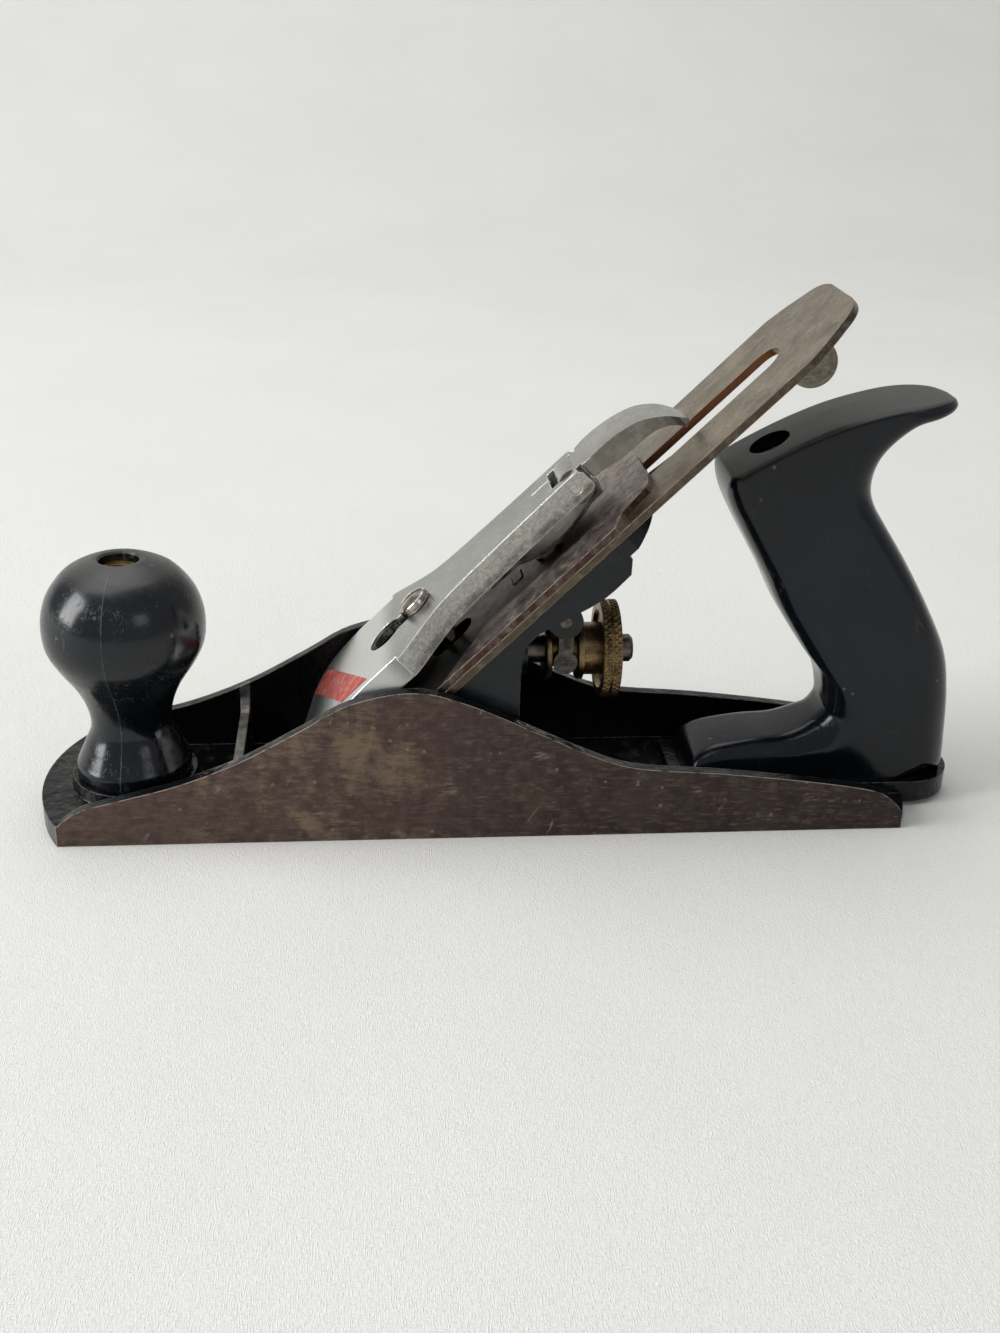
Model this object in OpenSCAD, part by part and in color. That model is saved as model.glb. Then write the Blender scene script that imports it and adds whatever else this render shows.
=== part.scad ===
// Smoothing plane: cast body with two cheeks, knob in front, open tote behind,
// and a blade assembly clamped on a frog that stands at 45 degrees.
// X runs from the toe to the heel, Y across, Z up. The sole lies on Z = 0 and
// the origin is the middle of the overall length.

/* [Body] */
// Overall length, from the tip of the toe to the end of the tail
overall_l = 255; // [246:1:275]
// Width across the cheeks
body_w = 52; // [47:0.5:58]
// Thickness of a cheek
cheek_t = 3.2; // [2.4:0.1:3.6]
// Thickness of the floor of the body
floor_t = 4.2; // [3.2:0.1:4.8]
// Highest point of the cheeks above the sole
cheek_h = 43.3; // [38:0.1:46]
// Height of the cheeks beside the knob
toe_shelf_z = 13.4; // [11:0.1:16]
// Height of the cheeks beside the foot of the tote
rear_shelf_z = 18.1; // [15:0.1:21]
// Height of the flat toe pad
pad_z = 6.2; // [5:0.1:7.5]
// Distance from the toe to the line where the bed meets the sole
mouth_from_toe = 70.2; // [68:0.1:73]
// Gap of the mouth in front of the cutting edge
mouth_gap = 1; // [0.6:0.1:2]
// Height of the cross rib in front of the mouth
rib_z = 15.8; // [12:0.1:18]
// Thickness of the cross rib
rib_t = 2.5; // [2:0.1:3.5]
// How far the tail runs past the heel, measured at the sides
tail_l = 20.1; // [18:0.1:24]
// Half width of the tail and of the platform under the tote
tail_r = 14; // [12.8:0.1:16]
// Height of the platform under the tote
tote_seat_z = 7.7; // [6.8:0.1:9]

/* [Knob] */
// Distance from the toe to the axis of the knob
knob_from_toe = 24.9; // [23:0.1:27]
// Height of the boss that carries the knob
boss_z = 9.4; // [8:0.1:11]
// Radius of the top of that boss
boss_r = 16.8; // [16:0.1:18]
// Height of the knob itself
knob_h = 61.6; // [56:0.1:66]
// Largest radius of the knob
knob_r = 21.3; // [19:0.1:23]
// Radius of the neck of the knob
knob_neck_r = 10.8; // [9:0.1:12]
// Radius of the foot of the knob
knob_foot_r = 15.4; // [14:0.1:16]

/* [Tote] */
// Height of the tote above its platform
tote_h = 107.7; // [103:0.1:112]
// Distance from the tail to the hole of the nut
tote_hole_back = 61; // [58:0.1:64]
// Height of that hole above the platform
tote_hole_up = 94.8; // [92:0.1:97]
// Thickness of the tote across the hand
tote_t = 25; // [22:0.1:27]
// Radius of the rounding along the grip
tote_round = 9; // [6:0.1:10]

/* [Rods and screws] */
// Radius of the threaded rods
rod_r = 2.8; // [2.4:0.1:3.2]
// Radius of the heads of the round brass nuts
nut_r = 4.9; // [4.6:0.1:5.4]
// Radius of the barrels of those nuts
nut_barrel_r = 3.9; // [3.7:0.1:4.2]
// Radial clearance of a screw or rod in its hole
screw_gap = 0.05; // [0.02:0.01:0.1]
// Radial clearance of the nuts in the knob and tote
nut_gap = 0.3; // [0.1:0.05:0.5]

/* [Frog] */
// Half of the width of the frog
frog_hw = 20.5; // [18.5:0.1:21]
// Thickness of the bed plate of the frog
bed_t = 4.2; // [3.6:0.1:5]
// Length of the bed at its sides, measured from the sole
bed_l = 118.6; // [116:0.1:121]
// Extra length of the arched middle of the bed
arch_rise = 9; // [6:0.1:11]
// Thickness of the side webs
web_t = 3.4; // [2.6:0.1:4.5]
// Distance from the bed line at the sole to the back of the frog
frog_l = 58.5; // [57:0.1:60]
// Height of the seat that carries the frog
seat_z = 12; // [11:0.1:12.5]
// Height of the small front seat just behind the mouth
front_seat_z = 6; // [5.4:0.1:7]
// Distance of each frog screw from the middle
frog_screw_y = 11; // [10:0.1:12.5]

/* [Depth adjustment] */
// Radius of the brass wheel
wheel_r = 13.4; // [12.5:0.1:15.2]
// Width of the rim of the wheel
wheel_w = 5; // [4.6:0.1:6]
// Height of the axis of the wheel above the sole
wheel_z = 43.9; // [43:0.1:44.5]
// Distance from the back of the frog to the middle of the rim
wheel_out = 25.6; // [25.2:0.1:26.8]
// Radius of the threaded stud
stud_r = 3.8; // [3.4:0.1:4]
// Running clearance of the wheel on the stud
stud_gap = 0.06; // [0.02:0.01:0.1]
// Radius of the two flanges of the grooved hub
hub_r = 8.4; // [7.8:0.1:9]
// Radius of the core of the groove
groove_r = 5; // [4.8:0.1:5.4]
// Radius of the round pads of the fork
pad_r = 3.3; // [2.8:0.1:3.6]
// Clearance of the pads on each side of the groove
pad_gap = 0.2; // [0.1:0.05:0.4]
// Length of the yoke from its pin to the middle of the blade pair
yoke_up = 13; // [12.4:0.1:13.6]
// Radius of the pin of the yoke
yoke_pin_r = 1.6; // [1.3:0.1:2]
// Running clearance on the small pins
pin_gap = 0.06; // [0.02:0.01:0.1]

/* [Blade] */
// Clearance between the blade and each cheek
blade_side_gap = 0.8; // [0.4:0.1:1.6]
// Length of the blade, from the sole to its upper end
iron_l = 197.8; // [190:0.1:205]
// Thickness of the blade
iron_t = 2.1; // [1.6:0.1:2.4]
// Thickness of the cap iron
cap_t = 2; // [1.6:0.1:2.4]
// Length of the cap iron, from the sole to its upper end
cap_l = 132; // [128:0.1:138]
// Half width of the slot of the blade
slot_hw = 5.2; // [5:0.1:5.6]
// Where the slot ends, measured from the sole
slot_end = 177; // [170:0.1:182]
// Height of the cutting edge above the sole, as stored
edge_lift = 0.2; // [0.1:0.1:0.5]

/* [Lever cap] */
// Height of the top face of the lever cap above the bed
lever_top = 17.6; // [16.8:0.1:18.6]
// Depth of the side walls of the lever cap
lever_wall_h = 6.8; // [6:0.1:7.4]
// Thickness of the walls of the lever cap
lever_wall = 2.4; // [1.8:0.1:2.8]
// Thickness of the top plate of the lever cap
lever_plate = 3; // [2.4:0.1:3.4]
// Half width of the narrow upper part of the lever cap
lever_neck_hw = 9.2; // [8.8:0.1:10.5]
// Where the clamping screw stands, measured from the sole
screw_u = 63.1; // [62:0.1:64]
// Radius of the head of the clamping screw
screw_head_r = 4.7; // [4.4:0.1:5.2]
// Radius of the shank of the clamping screw
screw_shank_r = 3.1; // [2.7:0.1:3.3]
// How far the lever cap slides before the head passes the keyhole
keyhole_l = 12; // [11:0.1:13]
// Where the cam pin stands, measured from the sole
cam_u = 116.5; // [116:0.1:117.5]
// Height of the cam pin above the bed
cam_h = 14.3; // [14:0.1:14.6]
// Radius of the cam pin
cam_pin_r = 1.6; // [1.3:0.1:1.9]
// Length of the cam lever past its pin
cam_lever_l = 32.5; // [28:0.1:36]
// Half width of the cam lever
cam_lever_hw = 8; // [7:0.1:9]

/* [Lateral lever] */
// Where the lateral lever is riveted, measured from the sole
lateral_u = 121; // [120.5:0.1:122]
// Distance from the rivet to the middle of the roller
roller_arm = 9; // [8.6:0.1:9.4]
// Radius of the roller that works in the slot of the blade
roller_r = 4.2; // [3.8:0.1:4.6]
// Where the round thumb piece stands, measured from the sole
thumb_u = 181; // [174:0.1:186]
// Radius of the thumb piece
thumb_r = 6.5; // [5.5:0.1:7.5]

/* [Hidden] */
$fn = 64;
fine = 120;
cut = 1;

toe_x = -overall_l / 2;
tail_x = overall_l / 2;
heel_x = tail_x - tail_l;
// The blade, the tote and the place of the mouth keep their share of the overall length,
// whose usual value is 255
stretch = overall_l / 255;
mouth_x = toe_x + mouth_from_toe * stretch;
knob_x = toe_x + knob_from_toe;
body_hw = body_w / 2;
inner_hw = body_hw - cheek_t;
iron_hw = inner_hw - blade_side_gap;
toe_sag = 7.2;
heel_sag = 5.1;
frog_back = mouth_x + frog_l;
bed_angle = 45;
diag = sqrt(2);
pair_t = iron_t + cap_t;

// A point of the bed, u up the slope and h above it, as x and z of the body
function on_bed(u, h) = [mouth_x + (u - h) / diag, (u + h) / diag];

// Radius of an arc from its half chord and its rise
function arc_radius(half, rise) = (half * half + rise * rise) / (2 * rise);
// Points of a smooth curve through all the given points, n steps to each span
function blend(a, b, c, d, t) = 0.5 * (2 * b + (c - a) * t + (2 * a - 5 * b + 4 * c - d) * t * t
    + (3 * b - a - 3 * c + d) * t * t * t);
function curve(p, n) = concat([for (i = [0:len(p) - 2]) for (j = [0:n - 1])
    blend(p[max(i - 1, 0)], p[i], p[i + 1], p[min(i + 2, len(p) - 1)], j / n)], [p[len(p) - 1]]);
function reversed(p) = [for (i = [len(p) - 1:-1:0]) p[i]];
// An outline drawn for one side of the middle, closed by its own mirror image
function both_sides(p) = concat(p, [for (q = reversed(p)) [q[0], -q[1]]]);

module bed() { translate([mouth_x, 0, 0]) rotate([0, -bed_angle, 0]) children(); }
// An outline in x and z, made w thick across the plane and centred on y
module across(w, y = 0) {
    translate([0, y, 0]) rotate([90, 0, 0]) linear_extrude(w, center = true) children();
}
// A cylinder along y
module pin(r, l) { rotate([90, 0, 0]) cylinder(r = r, h = l, center = true); }

// Body

boss_base_r = boss_r + 1.6;
cheek_front_x = toe_x + toe_sag + 0.9;
function rise(k) = toe_shelf_z + k * (cheek_h - toe_shelf_z);
function fall(k) = rear_shelf_z + k * (cheek_h - rear_shelf_z);
cheek_top = [[cheek_front_x, pad_z + 0.4], [toe_x + 13.9, (pad_z + toe_shelf_z) / 2 + 0.7],
    [toe_x + 24.3, toe_shelf_z], [mouth_x - 30.3, rise(0.144)], [mouth_x - 14.5, rise(0.36)],
    [mouth_x + 1.1, rise(0.65)], [mouth_x + 14.3, rise(0.9)], [mouth_x + 30.7, cheek_h],
    [mouth_x + 44.9, fall(0.853)], [mouth_x + 63.4, fall(0.51)], [mouth_x + 75.5, fall(0.28)],
    [mouth_x + 89.5, fall(0.085)], [heel_x - 50, rear_shelf_z - 0.2], [heel_x - 25.8, rear_shelf_z - 3.2],
    [heel_x - 9.5, rear_shelf_z - 6.1], [heel_x - 3.6, rear_shelf_z - 9.2], [heel_x, floor_t + 0.8]];

// The curved ends overlap the straight middle of the floor by this much
end_lap = 3;
module toe_disc() {
    r = arc_radius(body_hw, toe_sag);
    intersection() {
        translate([toe_x + r, 0, 0]) cylinder(r = r, h = pad_z, $fn = fine);
        translate([toe_x, -body_hw, 0]) cube([knob_from_toe - 4, body_w, pad_z]);
    }
}

module heel_disc() {
    r = arc_radius(body_hw, heel_sag);
    intersection() {
        translate([heel_x + heel_sag - r, 0, 0]) cylinder(r = r, h = floor_t, $fn = fine);
        translate([heel_x - 2 * end_lap, -body_hw, 0]) cube([2 * end_lap + heel_sag, body_w, floor_t]);
    }
}

tail_under_z = 1.5;
platform_x = tail_x - 81;
module tail() {
    translate([0, 0, tail_under_z]) {
        translate([tail_x - tail_r, 0, 0]) cylinder(r = tail_r, h = tote_seat_z - tail_under_z);
        translate([platform_x, -tail_r, 0])
            cube([tail_x - tail_r - platform_x, 2 * tail_r, tote_seat_z - tail_under_z]);
    }
}

rib_x = mouth_x - 16.5;
rib_sweep = 5;
module cross_rib() {
    side = [for (a = [0:15:90])
        [inner_hw + 0.3 - rib_sweep + rib_sweep * sin(a), rib_z + rib_sweep * (1 - cos(a))]];
    translate([rib_x, 0, 0]) rotate([90, 0, 90]) linear_extrude(rib_t, center = true)
        polygon(concat([[inner_hw + 0.3, floor_t - cut]], reversed(side), [for (p = side) [-p[0], p[1]]],
            [[-inner_hw - 0.3, floor_t - cut]]));
}

seat_hw = 18;
seat_front_x = mouth_x + 18;
module frog_seats() {
    translate([mouth_x + 7, -seat_hw, 0]) cube([frog_l - 9, 2 * seat_hw, front_seat_z]);
    translate([seat_front_x, -seat_hw, 0]) cube([frog_l - 20, 2 * seat_hw, seat_z]);
}

edge_x = mouth_x - iron_t * diag;
mouth_hw = iron_hw + 0.5;
module mouth_cut() {
    across(2 * mouth_hw) polygon([[edge_x - mouth_gap, -cut], [mouth_x - cut + 0.4, -cut],
        [mouth_x + floor_t + 0.4, floor_t], [mouth_x + floor_t + 0.4, floor_t + cut],
        [edge_x - mouth_gap, floor_t + cut]]);
}

rod_foot_z = 2.4;
frog_screw_x = mouth_x + 27.3;
module body() {
    color("#3a3330") difference() {
        union() {
            toe_disc();
            translate([toe_x + toe_sag + end_lap, -body_hw, 0])
                cube([heel_x - toe_x - toe_sag - 2 * end_lap, body_w, floor_t]);
            heel_disc();
            for (side = [-1, 1]) across(cheek_t, side * (body_hw - cheek_t / 2))
                polygon(concat([[cheek_front_x, 0]], curve(cheek_top, 5), [[heel_x, 0]]));
            translate([knob_x, 0, 0]) cylinder(r1 = boss_base_r, r2 = boss_r, h = boss_z);
            cross_rib();
            frog_seats();
            tail();
        }
        mouth_cut();
        translate([knob_x, 0, rod_foot_z]) cylinder(r = rod_r + screw_gap, h = boss_z);
        for (side = [-1, 1]) translate([frog_screw_x, side * frog_screw_y, tail_under_z])
            cylinder(r = frog_screw_r + screw_gap, h = seat_z);
        along_tote() translate([0, 0, tote_rod_low]) cylinder(r = rod_r + screw_gap, h = 20);
    }
}

// Knob with its rod and nut

nut_head_t = 3;
nut_l = 20;
// Radial room round a rod inside the knob and the tote
rod_room = 0.4;
knob_hole_d = 2.2;
knob_hole_r = nut_r + nut_gap;
knob_top_z = boss_z + knob_h;
knob_side = [[knob_foot_r, 0.055], [knob_foot_r - 0.8, 0.085], [knob_neck_r + 2.1, 0.145],
    [knob_neck_r, 0.23], [knob_neck_r + 0.7, 0.33], [knob_neck_r + 3.3, 0.43], [knob_r - 3.2, 0.53],
    [knob_r - 0.5, 0.62],
    [knob_r, 0.72], [knob_r - 0.9, 0.8], [knob_r - 2.9, 0.87], [knob_r - 6.6, 0.94], [knob_r - 11, 0.98],
    [knob_hole_r + 1.6, 1], [knob_hole_r, 0.99]];
module knob() {
    nut_seat = knob_h - knob_hole_d - nut_head_t;
    color("#15161a") translate([knob_x, 0, boss_z]) rotate_extrude($fn = fine)
        polygon(concat([[rod_r + rod_room, 0], [knob_foot_r - 0.4, 0], [knob_foot_r, 0.8]],
            [for (p = curve(knob_side, 3)) [p[0], p[1] * knob_h]],
            [[knob_hole_r, nut_seat], [nut_barrel_r + nut_gap, nut_seat],
            [nut_barrel_r + nut_gap, knob_h - nut_l - 8], [rod_r + rod_room, knob_h - nut_l - 8]]));
}

module rod(l) { cylinder(r = rod_r, h = l); }

nut_slot_w = 1.3;
nut_slot_d = 1.3;
// A slotted round nut, its head's underside at the origin and its barrel below
module nut() {
    difference() {
        union() {
            translate([0, 0, -nut_l]) cylinder(r = nut_barrel_r, h = nut_l);
            cylinder(r = nut_r, h = nut_head_t - 0.6);
            translate([0, 0, nut_head_t - 0.6]) cylinder(r1 = nut_r, r2 = nut_r - 0.8, h = 0.6);
        }
        translate([0, 0, -nut_l - cut]) cylinder(r = rod_r + screw_gap, h = nut_l - 1.5 + cut);
        translate([-nut_r - cut, -nut_slot_w / 2, nut_head_t - nut_slot_d])
            cube([2 * nut_r + 2 * cut, nut_slot_w, nut_slot_d + cut]);
    }
}

knob_nut_z = knob_top_z - knob_hole_d - nut_head_t;
module knob_rod() {
    color("#6d6a63") translate([knob_x, 0, rod_foot_z + 0.3]) rod(knob_nut_z - 4 - rod_foot_z);
}
module knob_nut() { color("#a98a4e") translate([knob_x, 0, knob_nut_z]) nut(); }

// Tote with its rod and nut

tote_lean = 24.7;
tote_tall = tote_h * stretch;
tote_hole_x = tail_x - tote_hole_back * stretch;
tote_hole_z = tote_seat_z + tote_hole_up * stretch;
tote_rod_low = -(tote_hole_z - rod_foot_z) / cos(tote_lean);
// Axis of the tote's rod, its origin at the top of the hole
module along_tote() { translate([tote_hole_x, 0, tote_hole_z]) rotate([0, -tote_lean, 0]) children(); }

// Side view from the foot up to the horn: distance from the tail, share of the height,
// share of the rounding. The front and the back have as many points as each other.
tote_front = [[-77.1, 0.021, 0.2], [-75.5, 0.062, 0.5], [-70.5, 0.09, 0.8], [-60, 0.108, 1], [-50.5, 0.116, 1],
    [-43, 0.146, 1], [-39.3, 0.206, 1], [-41.4, 0.28, 1], [-47, 0.351, 1], [-55, 0.464, 1], [-60.4, 0.558, 1],
    [-68, 0.678, 1], [-72.2, 0.757, 0.8], [-72.6, 0.81, 0.4], [-69.5, 0.832, 0.22], [-62.3, 0.871, 0.2],
    [-53.5, 0.913, 0.2], [-43.5, 0.952, 0.2], [-33, 0.98, 0.2], [-24, 0.995, 0.15], [-17.4, 0.999, 0.08],
    [-13.8, 0.994, 0.04]];
tote_back = [[-77.1, 0, 0], [-72, 0, 0], [-66, 0, 0], [-57, 0, 0], [-47, 0, 0], [-36, 0, 0], [-20, 0, 0],
    [-2, 0, 0], [-2.2, 0.103, 0.5], [-3.9, 0.231, 0.9], [-7, 0.344, 1], [-13.4, 0.46, 1], [-21.3, 0.581, 1],
    [-28.2, 0.675, 1],
    [-32.4, 0.735, 1], [-33.9, 0.784, 1], [-33.4, 0.843, 0.7], [-30.5, 0.894, 0.45], [-25, 0.941, 0.2],
    [-19.5, 0.959, 0.1], [-15.2, 0.971, 0.06], [-12.9, 0.981, 0.04]];
tote_steps = 3;
tote_levels = [-90, -62, -40, -20, 0, 20, 40, 62, 90];

module tote_form() {
    up = curve(tote_front, tote_steps);
    down = curve(tote_back, tote_steps);
    ring = concat(up, reversed(down));
    m = len(up);
    n = len(ring);
    flat = [for (p = ring) [tail_x + p[0] * stretch, tote_seat_z + max(p[1], 0) * tote_tall]];
    half = tote_t / 2;
    function inward(i) = let (d = flat[(i + 1) % n] - flat[(i + n - 1) % n]) [d[1], -d[0]] / norm(d);
    function inset(i, y) = let (r = max(tote_round * ring[i][2], 0.01), t = max(0, (abs(y) - (half - r)) / r))
        r * (1 - sqrt(max(0, 1 - t * t)));
    points = [for (a = tote_levels) let (y = half * sin(a)) for (i = [0:n - 1])
        let (p = flat[i] + inward(i) * inset(i, y)) [p[0], y, max(p[1], tote_seat_z)]];
    top = (len(tote_levels) - 1) * n;
    rim = [for (k = [0:len(tote_levels) - 2]) for (i = [0:n - 1]) let (a = k * n + i, b = k * n + (i + 1) % n)
        each [[a, b + n, b], [a, a + n, b + n]]];
    // each flat side is a strip between the front and the back
    flanks = [for (i = [0:m - 2]) let (j = n - 1 - i)
        each [[i, i + 1, j - 1], [i, j - 1, j],
            [top + i, top + j - 1, top + i + 1], [top + i, top + j, top + j - 1]]];
    polyhedron(points, concat(rim, flanks));
}

tote_nut_low = -nut_head_t - 3.5;
heel_r = tote_t / 2;
module tote() {
    color("#131417") difference() {
        // the heel is round seen from above
        intersection() {
            tote_form();
            linear_extrude(2 * tote_tall) {
                translate([tail_x - 2 - heel_r, 0]) circle(r = heel_r, $fn = fine);
                translate([0, -tote_t]) square([tail_x - 2 - heel_r, 2 * tote_t]);
            }
        }
        along_tote() {
            translate([0, 0, tote_nut_low]) cylinder(r = nut_r + nut_gap + 0.4, h = 20);
            translate([0, 0, tote_nut_low - nut_l - 2]) cylinder(r = nut_barrel_r + nut_gap, h = nut_l + 3);
            translate([0, 0, tote_rod_low - 10]) cylinder(r = rod_r + rod_room, h = -tote_rod_low);
        }
    }
}

module tote_rod() {
    color("#6d6a63") along_tote() translate([0, 0, tote_rod_low + 0.5]) rod(tote_nut_low - 4 - tote_rod_low);
}
module tote_nut() { color("#a98a4e") along_tote() translate([0, 0, tote_nut_low]) nut(); }

// Frog

frog_foot_z = seat_z + 5;
frog_screw_r = 2.8;
frog_head_r = 4.8;
washer_r = 6;
washer_t = 1.2;
yoke_u = 90.4;
yoke_h = iron_t + cap_t / 2 - yoke_up;
yoke_at = on_bed(yoke_u, yoke_h);
finger_u = 87.5;
cap_screw_u = 98.5;
cap_screw_head_r = 7;
cap_screw_head_t = 2.6;
feed_room = 1.7;
cap_screw_low = cap_screw_u - cap_screw_head_r - feed_room - 0.4;
lug_y = 9;
lug_t = 4;
lug_r = 4.6;
ear_drop = 8.9;

// Outline of the side of the frog, from its toe up the bed and down its back
// It and the bed plate rise a little above the bed, and one cut then trims both to it
over_bed = 1;
frog_toe = [mouth_x + front_seat_z - over_bed * diag, front_seat_z];
frog_side = concat([frog_toe, on_bed(bed_l - end_lap, over_bed), on_bed(bed_l - end_lap, -6)],
    curve([on_bed(bed_l - 6, -ear_drop), on_bed(bed_l - 16, -ear_drop), on_bed(91, -5.8),
        [frog_back + 2.1, 55], [frog_back + 0.2, 47.8], [frog_back, 37.7]], 3),
    [[frog_back, seat_z], [seat_front_x - 0.5, seat_z], [seat_front_x - 0.5, front_seat_z]]);

bed_start = front_seat_z * diag + bed_t + 2;
arch_t = 4.9;
module bed_plate() {
    bed() difference() {
        union() {
            translate([bed_start, -frog_hw, -bed_t])
                cube([bed_l - 2 * end_lap - bed_start, 2 * frog_hw, bed_t + over_bed]);
            intersection() {
                r = arc_radius(frog_hw, arch_rise);
                translate([bed_l + arch_rise - r, 0, -arch_t])
                    cylinder(r = r, h = arch_t + over_bed, $fn = fine);
                translate([bed_l - 14, -frog_hw, -arch_t])
                    cube([14 + arch_rise, 2 * frog_hw, arch_t + over_bed]);
            }
        }
        translate([finger_u - 5, -3.6, -10]) cube([8.5, 7.2, 12]);
        translate([cap_screw_low, -cap_screw_head_r - 1, -bed_t - cut])
            cube([2 * (cap_screw_head_r + feed_room) + 0.4, 2 * cap_screw_head_r + 2, 10]);
        translate([lateral_u - roller_arm - 5.2, -8, -2.2]) cube([30, 16, 5]);
        across(16) polygon([[lateral_u + 6, 3], [lateral_u + 6, -2.2], [arm_end, thumb_h - 2], [arm_end, 3]]);
        translate([lateral_u, 0, -10]) cylinder(r = lateral_pivot_r + screw_gap, h = 12);
        translate([bed_l - 14 - cut, -14, -arch_t - cut]) cube([6, 28, arch_t - bed_t + cut]);
    }
}

stud_boss_r = 7;
stud_depth = 3;
stud_boss_x = frog_back + 3.3;
boss_depth = 5;
module frog() {
    color("#101215") difference() {
        union() {
            for (side = [-1, 1]) across(web_t, side * (frog_hw - web_t / 2)) polygon(frog_side);
            bed_plate();
            // foot with the two screw holes, and the back wall with the stud's boss
            intersection() {
                translate([frog_toe[0], -frog_hw, front_seat_z])
                    cube([frog_l - front_seat_z, 2 * frog_hw, frog_foot_z - front_seat_z]);
                across(2 * frog_hw) polygon(frog_side);
            }
            translate([frog_back - 5, -frog_hw, seat_z])
                cube([5, 2 * frog_hw, wheel_z + stud_boss_r - 4 - seat_z]);
            translate([frog_back - 5, 0, wheel_z]) rotate([0, 90, 0])
                cylinder(r = stud_boss_r, h = 5 + stud_boss_x - frog_back);
            bed() translate([screw_u, 0, -bed_t - boss_depth])
                cylinder(r = screw_shank_r + 4, h = boss_depth + 1);
            for (side = [-1, 1]) difference() {
                hull() {
                    translate([yoke_at[0], side * (lug_y + lug_t / 2), yoke_at[1]]) pin(lug_r, lug_t);
                    bed() translate([yoke_u - lug_r, side * (lug_y + lug_t / 2) - lug_t / 2, -2])
                        cube([2 * lug_r, lug_t, 1]);
                }
                bed() translate([cap_screw_low, -cap_screw_head_r - 2.5, -3.2])
                    cube([20, 2 * cap_screw_head_r + 5, 10]);
            }
        }
        for (side = [-1, 1]) translate([frog_screw_x, side * frog_screw_y, 0]) {
            translate([0, 0, front_seat_z]) cylinder(r = frog_screw_r + 0.5, h = 20);
            translate([0, 0, frog_foot_z]) cylinder(r = washer_r + 0.5, h = 40);
        }
        translate([frog_back - stud_depth - 0.2, 0, wheel_z]) rotate([0, 90, 0])
            cylinder(r = stud_r + screw_gap, h = 30);
        bed() translate([screw_u, 0, -bed_t - boss_depth - cut])
            cylinder(r = screw_shank_r + pin_gap, h = 30);
        translate([yoke_at[0], 0, yoke_at[1]]) pin(yoke_pin_r + screw_gap, 2 * (lug_y + lug_t) + 0.4);
        bed() translate([front_seat_z * diag - 6, -frog_hw - cut, 0])
            cube([bed_l + 40, 2 * frog_hw + 2 * cut, 40]);
    }
}

module frog_washers() {
    color("#4a4744") for (side = [-1, 1]) translate([frog_screw_x, side * frog_screw_y, frog_foot_z])
        difference() {
        cylinder(r = washer_r, h = washer_t);
        translate([0, 0, -cut]) cylinder(r = frog_screw_r + 0.2, h = washer_t + 2 * cut);
    }
}

frog_head_t = 3.2;
module frog_screws() {
    color("#3c3a38") for (side = [-1, 1]) translate([frog_screw_x, side * frog_screw_y, 0]) difference() {
        union() {
            translate([0, 0, tail_under_z + 0.4])
                cylinder(r = frog_screw_r, h = frog_foot_z + washer_t - tail_under_z);
            translate([0, 0, frog_foot_z + washer_t]) cylinder(r = frog_head_r, h = frog_head_t);
        }
        translate([-frog_head_r - cut, -0.6, frog_foot_z + washer_t + frog_head_t - 1.2])
            cube([2 * frog_head_r + 2 * cut, 1.2, 2]);
    }
}

// Depth adjustment: stud, wheel, yoke and its pin

wheel_x = frog_back + wheel_out;
pad_x = wheel_x - 12.2;
fork_z = wheel_z - 0.9;
stud_end_x = wheel_x + wheel_w / 2 + 4.5;
module adjusting_stud() {
    chamfer = 0.8;
    straight = stud_end_x - frog_back + stud_depth - chamfer;
    color("#57504a") translate([frog_back - stud_depth, 0, wheel_z]) rotate([0, 90, 0]) {
        cylinder(r = stud_r, h = straight);
        translate([0, 0, straight]) cylinder(r1 = stud_r, r2 = stud_r - chamfer, h = chamfer);
    }
}

groove_w = 2 * (pad_r + pad_gap);
flange_t = 1.7;
module depth_wheel() {
    front = -wheel_w / 2;
    back = wheel_w / 2;
    groove = pad_x - wheel_x;
    color("#a8874a") translate([wheel_x, 0, wheel_z]) rotate([0, 90, 0]) rotate_extrude($fn = fine)
        polygon([[stud_r + stud_gap, back - 1], [wheel_r - 3.4, back - 1],
            [wheel_r - 2.6, back], [wheel_r - 0.5, back], [wheel_r, back - 0.5], [wheel_r, 0.5],
            [wheel_r - 0.5, 0.25], [wheel_r - 0.5, -0.25], [wheel_r, -0.5], [wheel_r, front + 0.5],
            [wheel_r - 0.5, front],
            [wheel_r - 2.6, front], [wheel_r - 3.4, front + 1.2], [hub_r - 1.2, front + 1.2],
            [hub_r - 1.2, groove + groove_w / 2 + flange_t], [hub_r, groove + groove_w / 2 + flange_t],
            [hub_r, groove + groove_w / 2], [groove_r, groove + groove_w / 2],
            [groove_r, groove - groove_w / 2], [hub_r, groove - groove_w / 2],
            [hub_r, groove - groove_w / 2 - flange_t],
            [stud_r + stud_gap, groove - groove_w / 2 - flange_t]]);
}

fork_in = groove_r + 0.25;
fork_t = 2.6;
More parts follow.
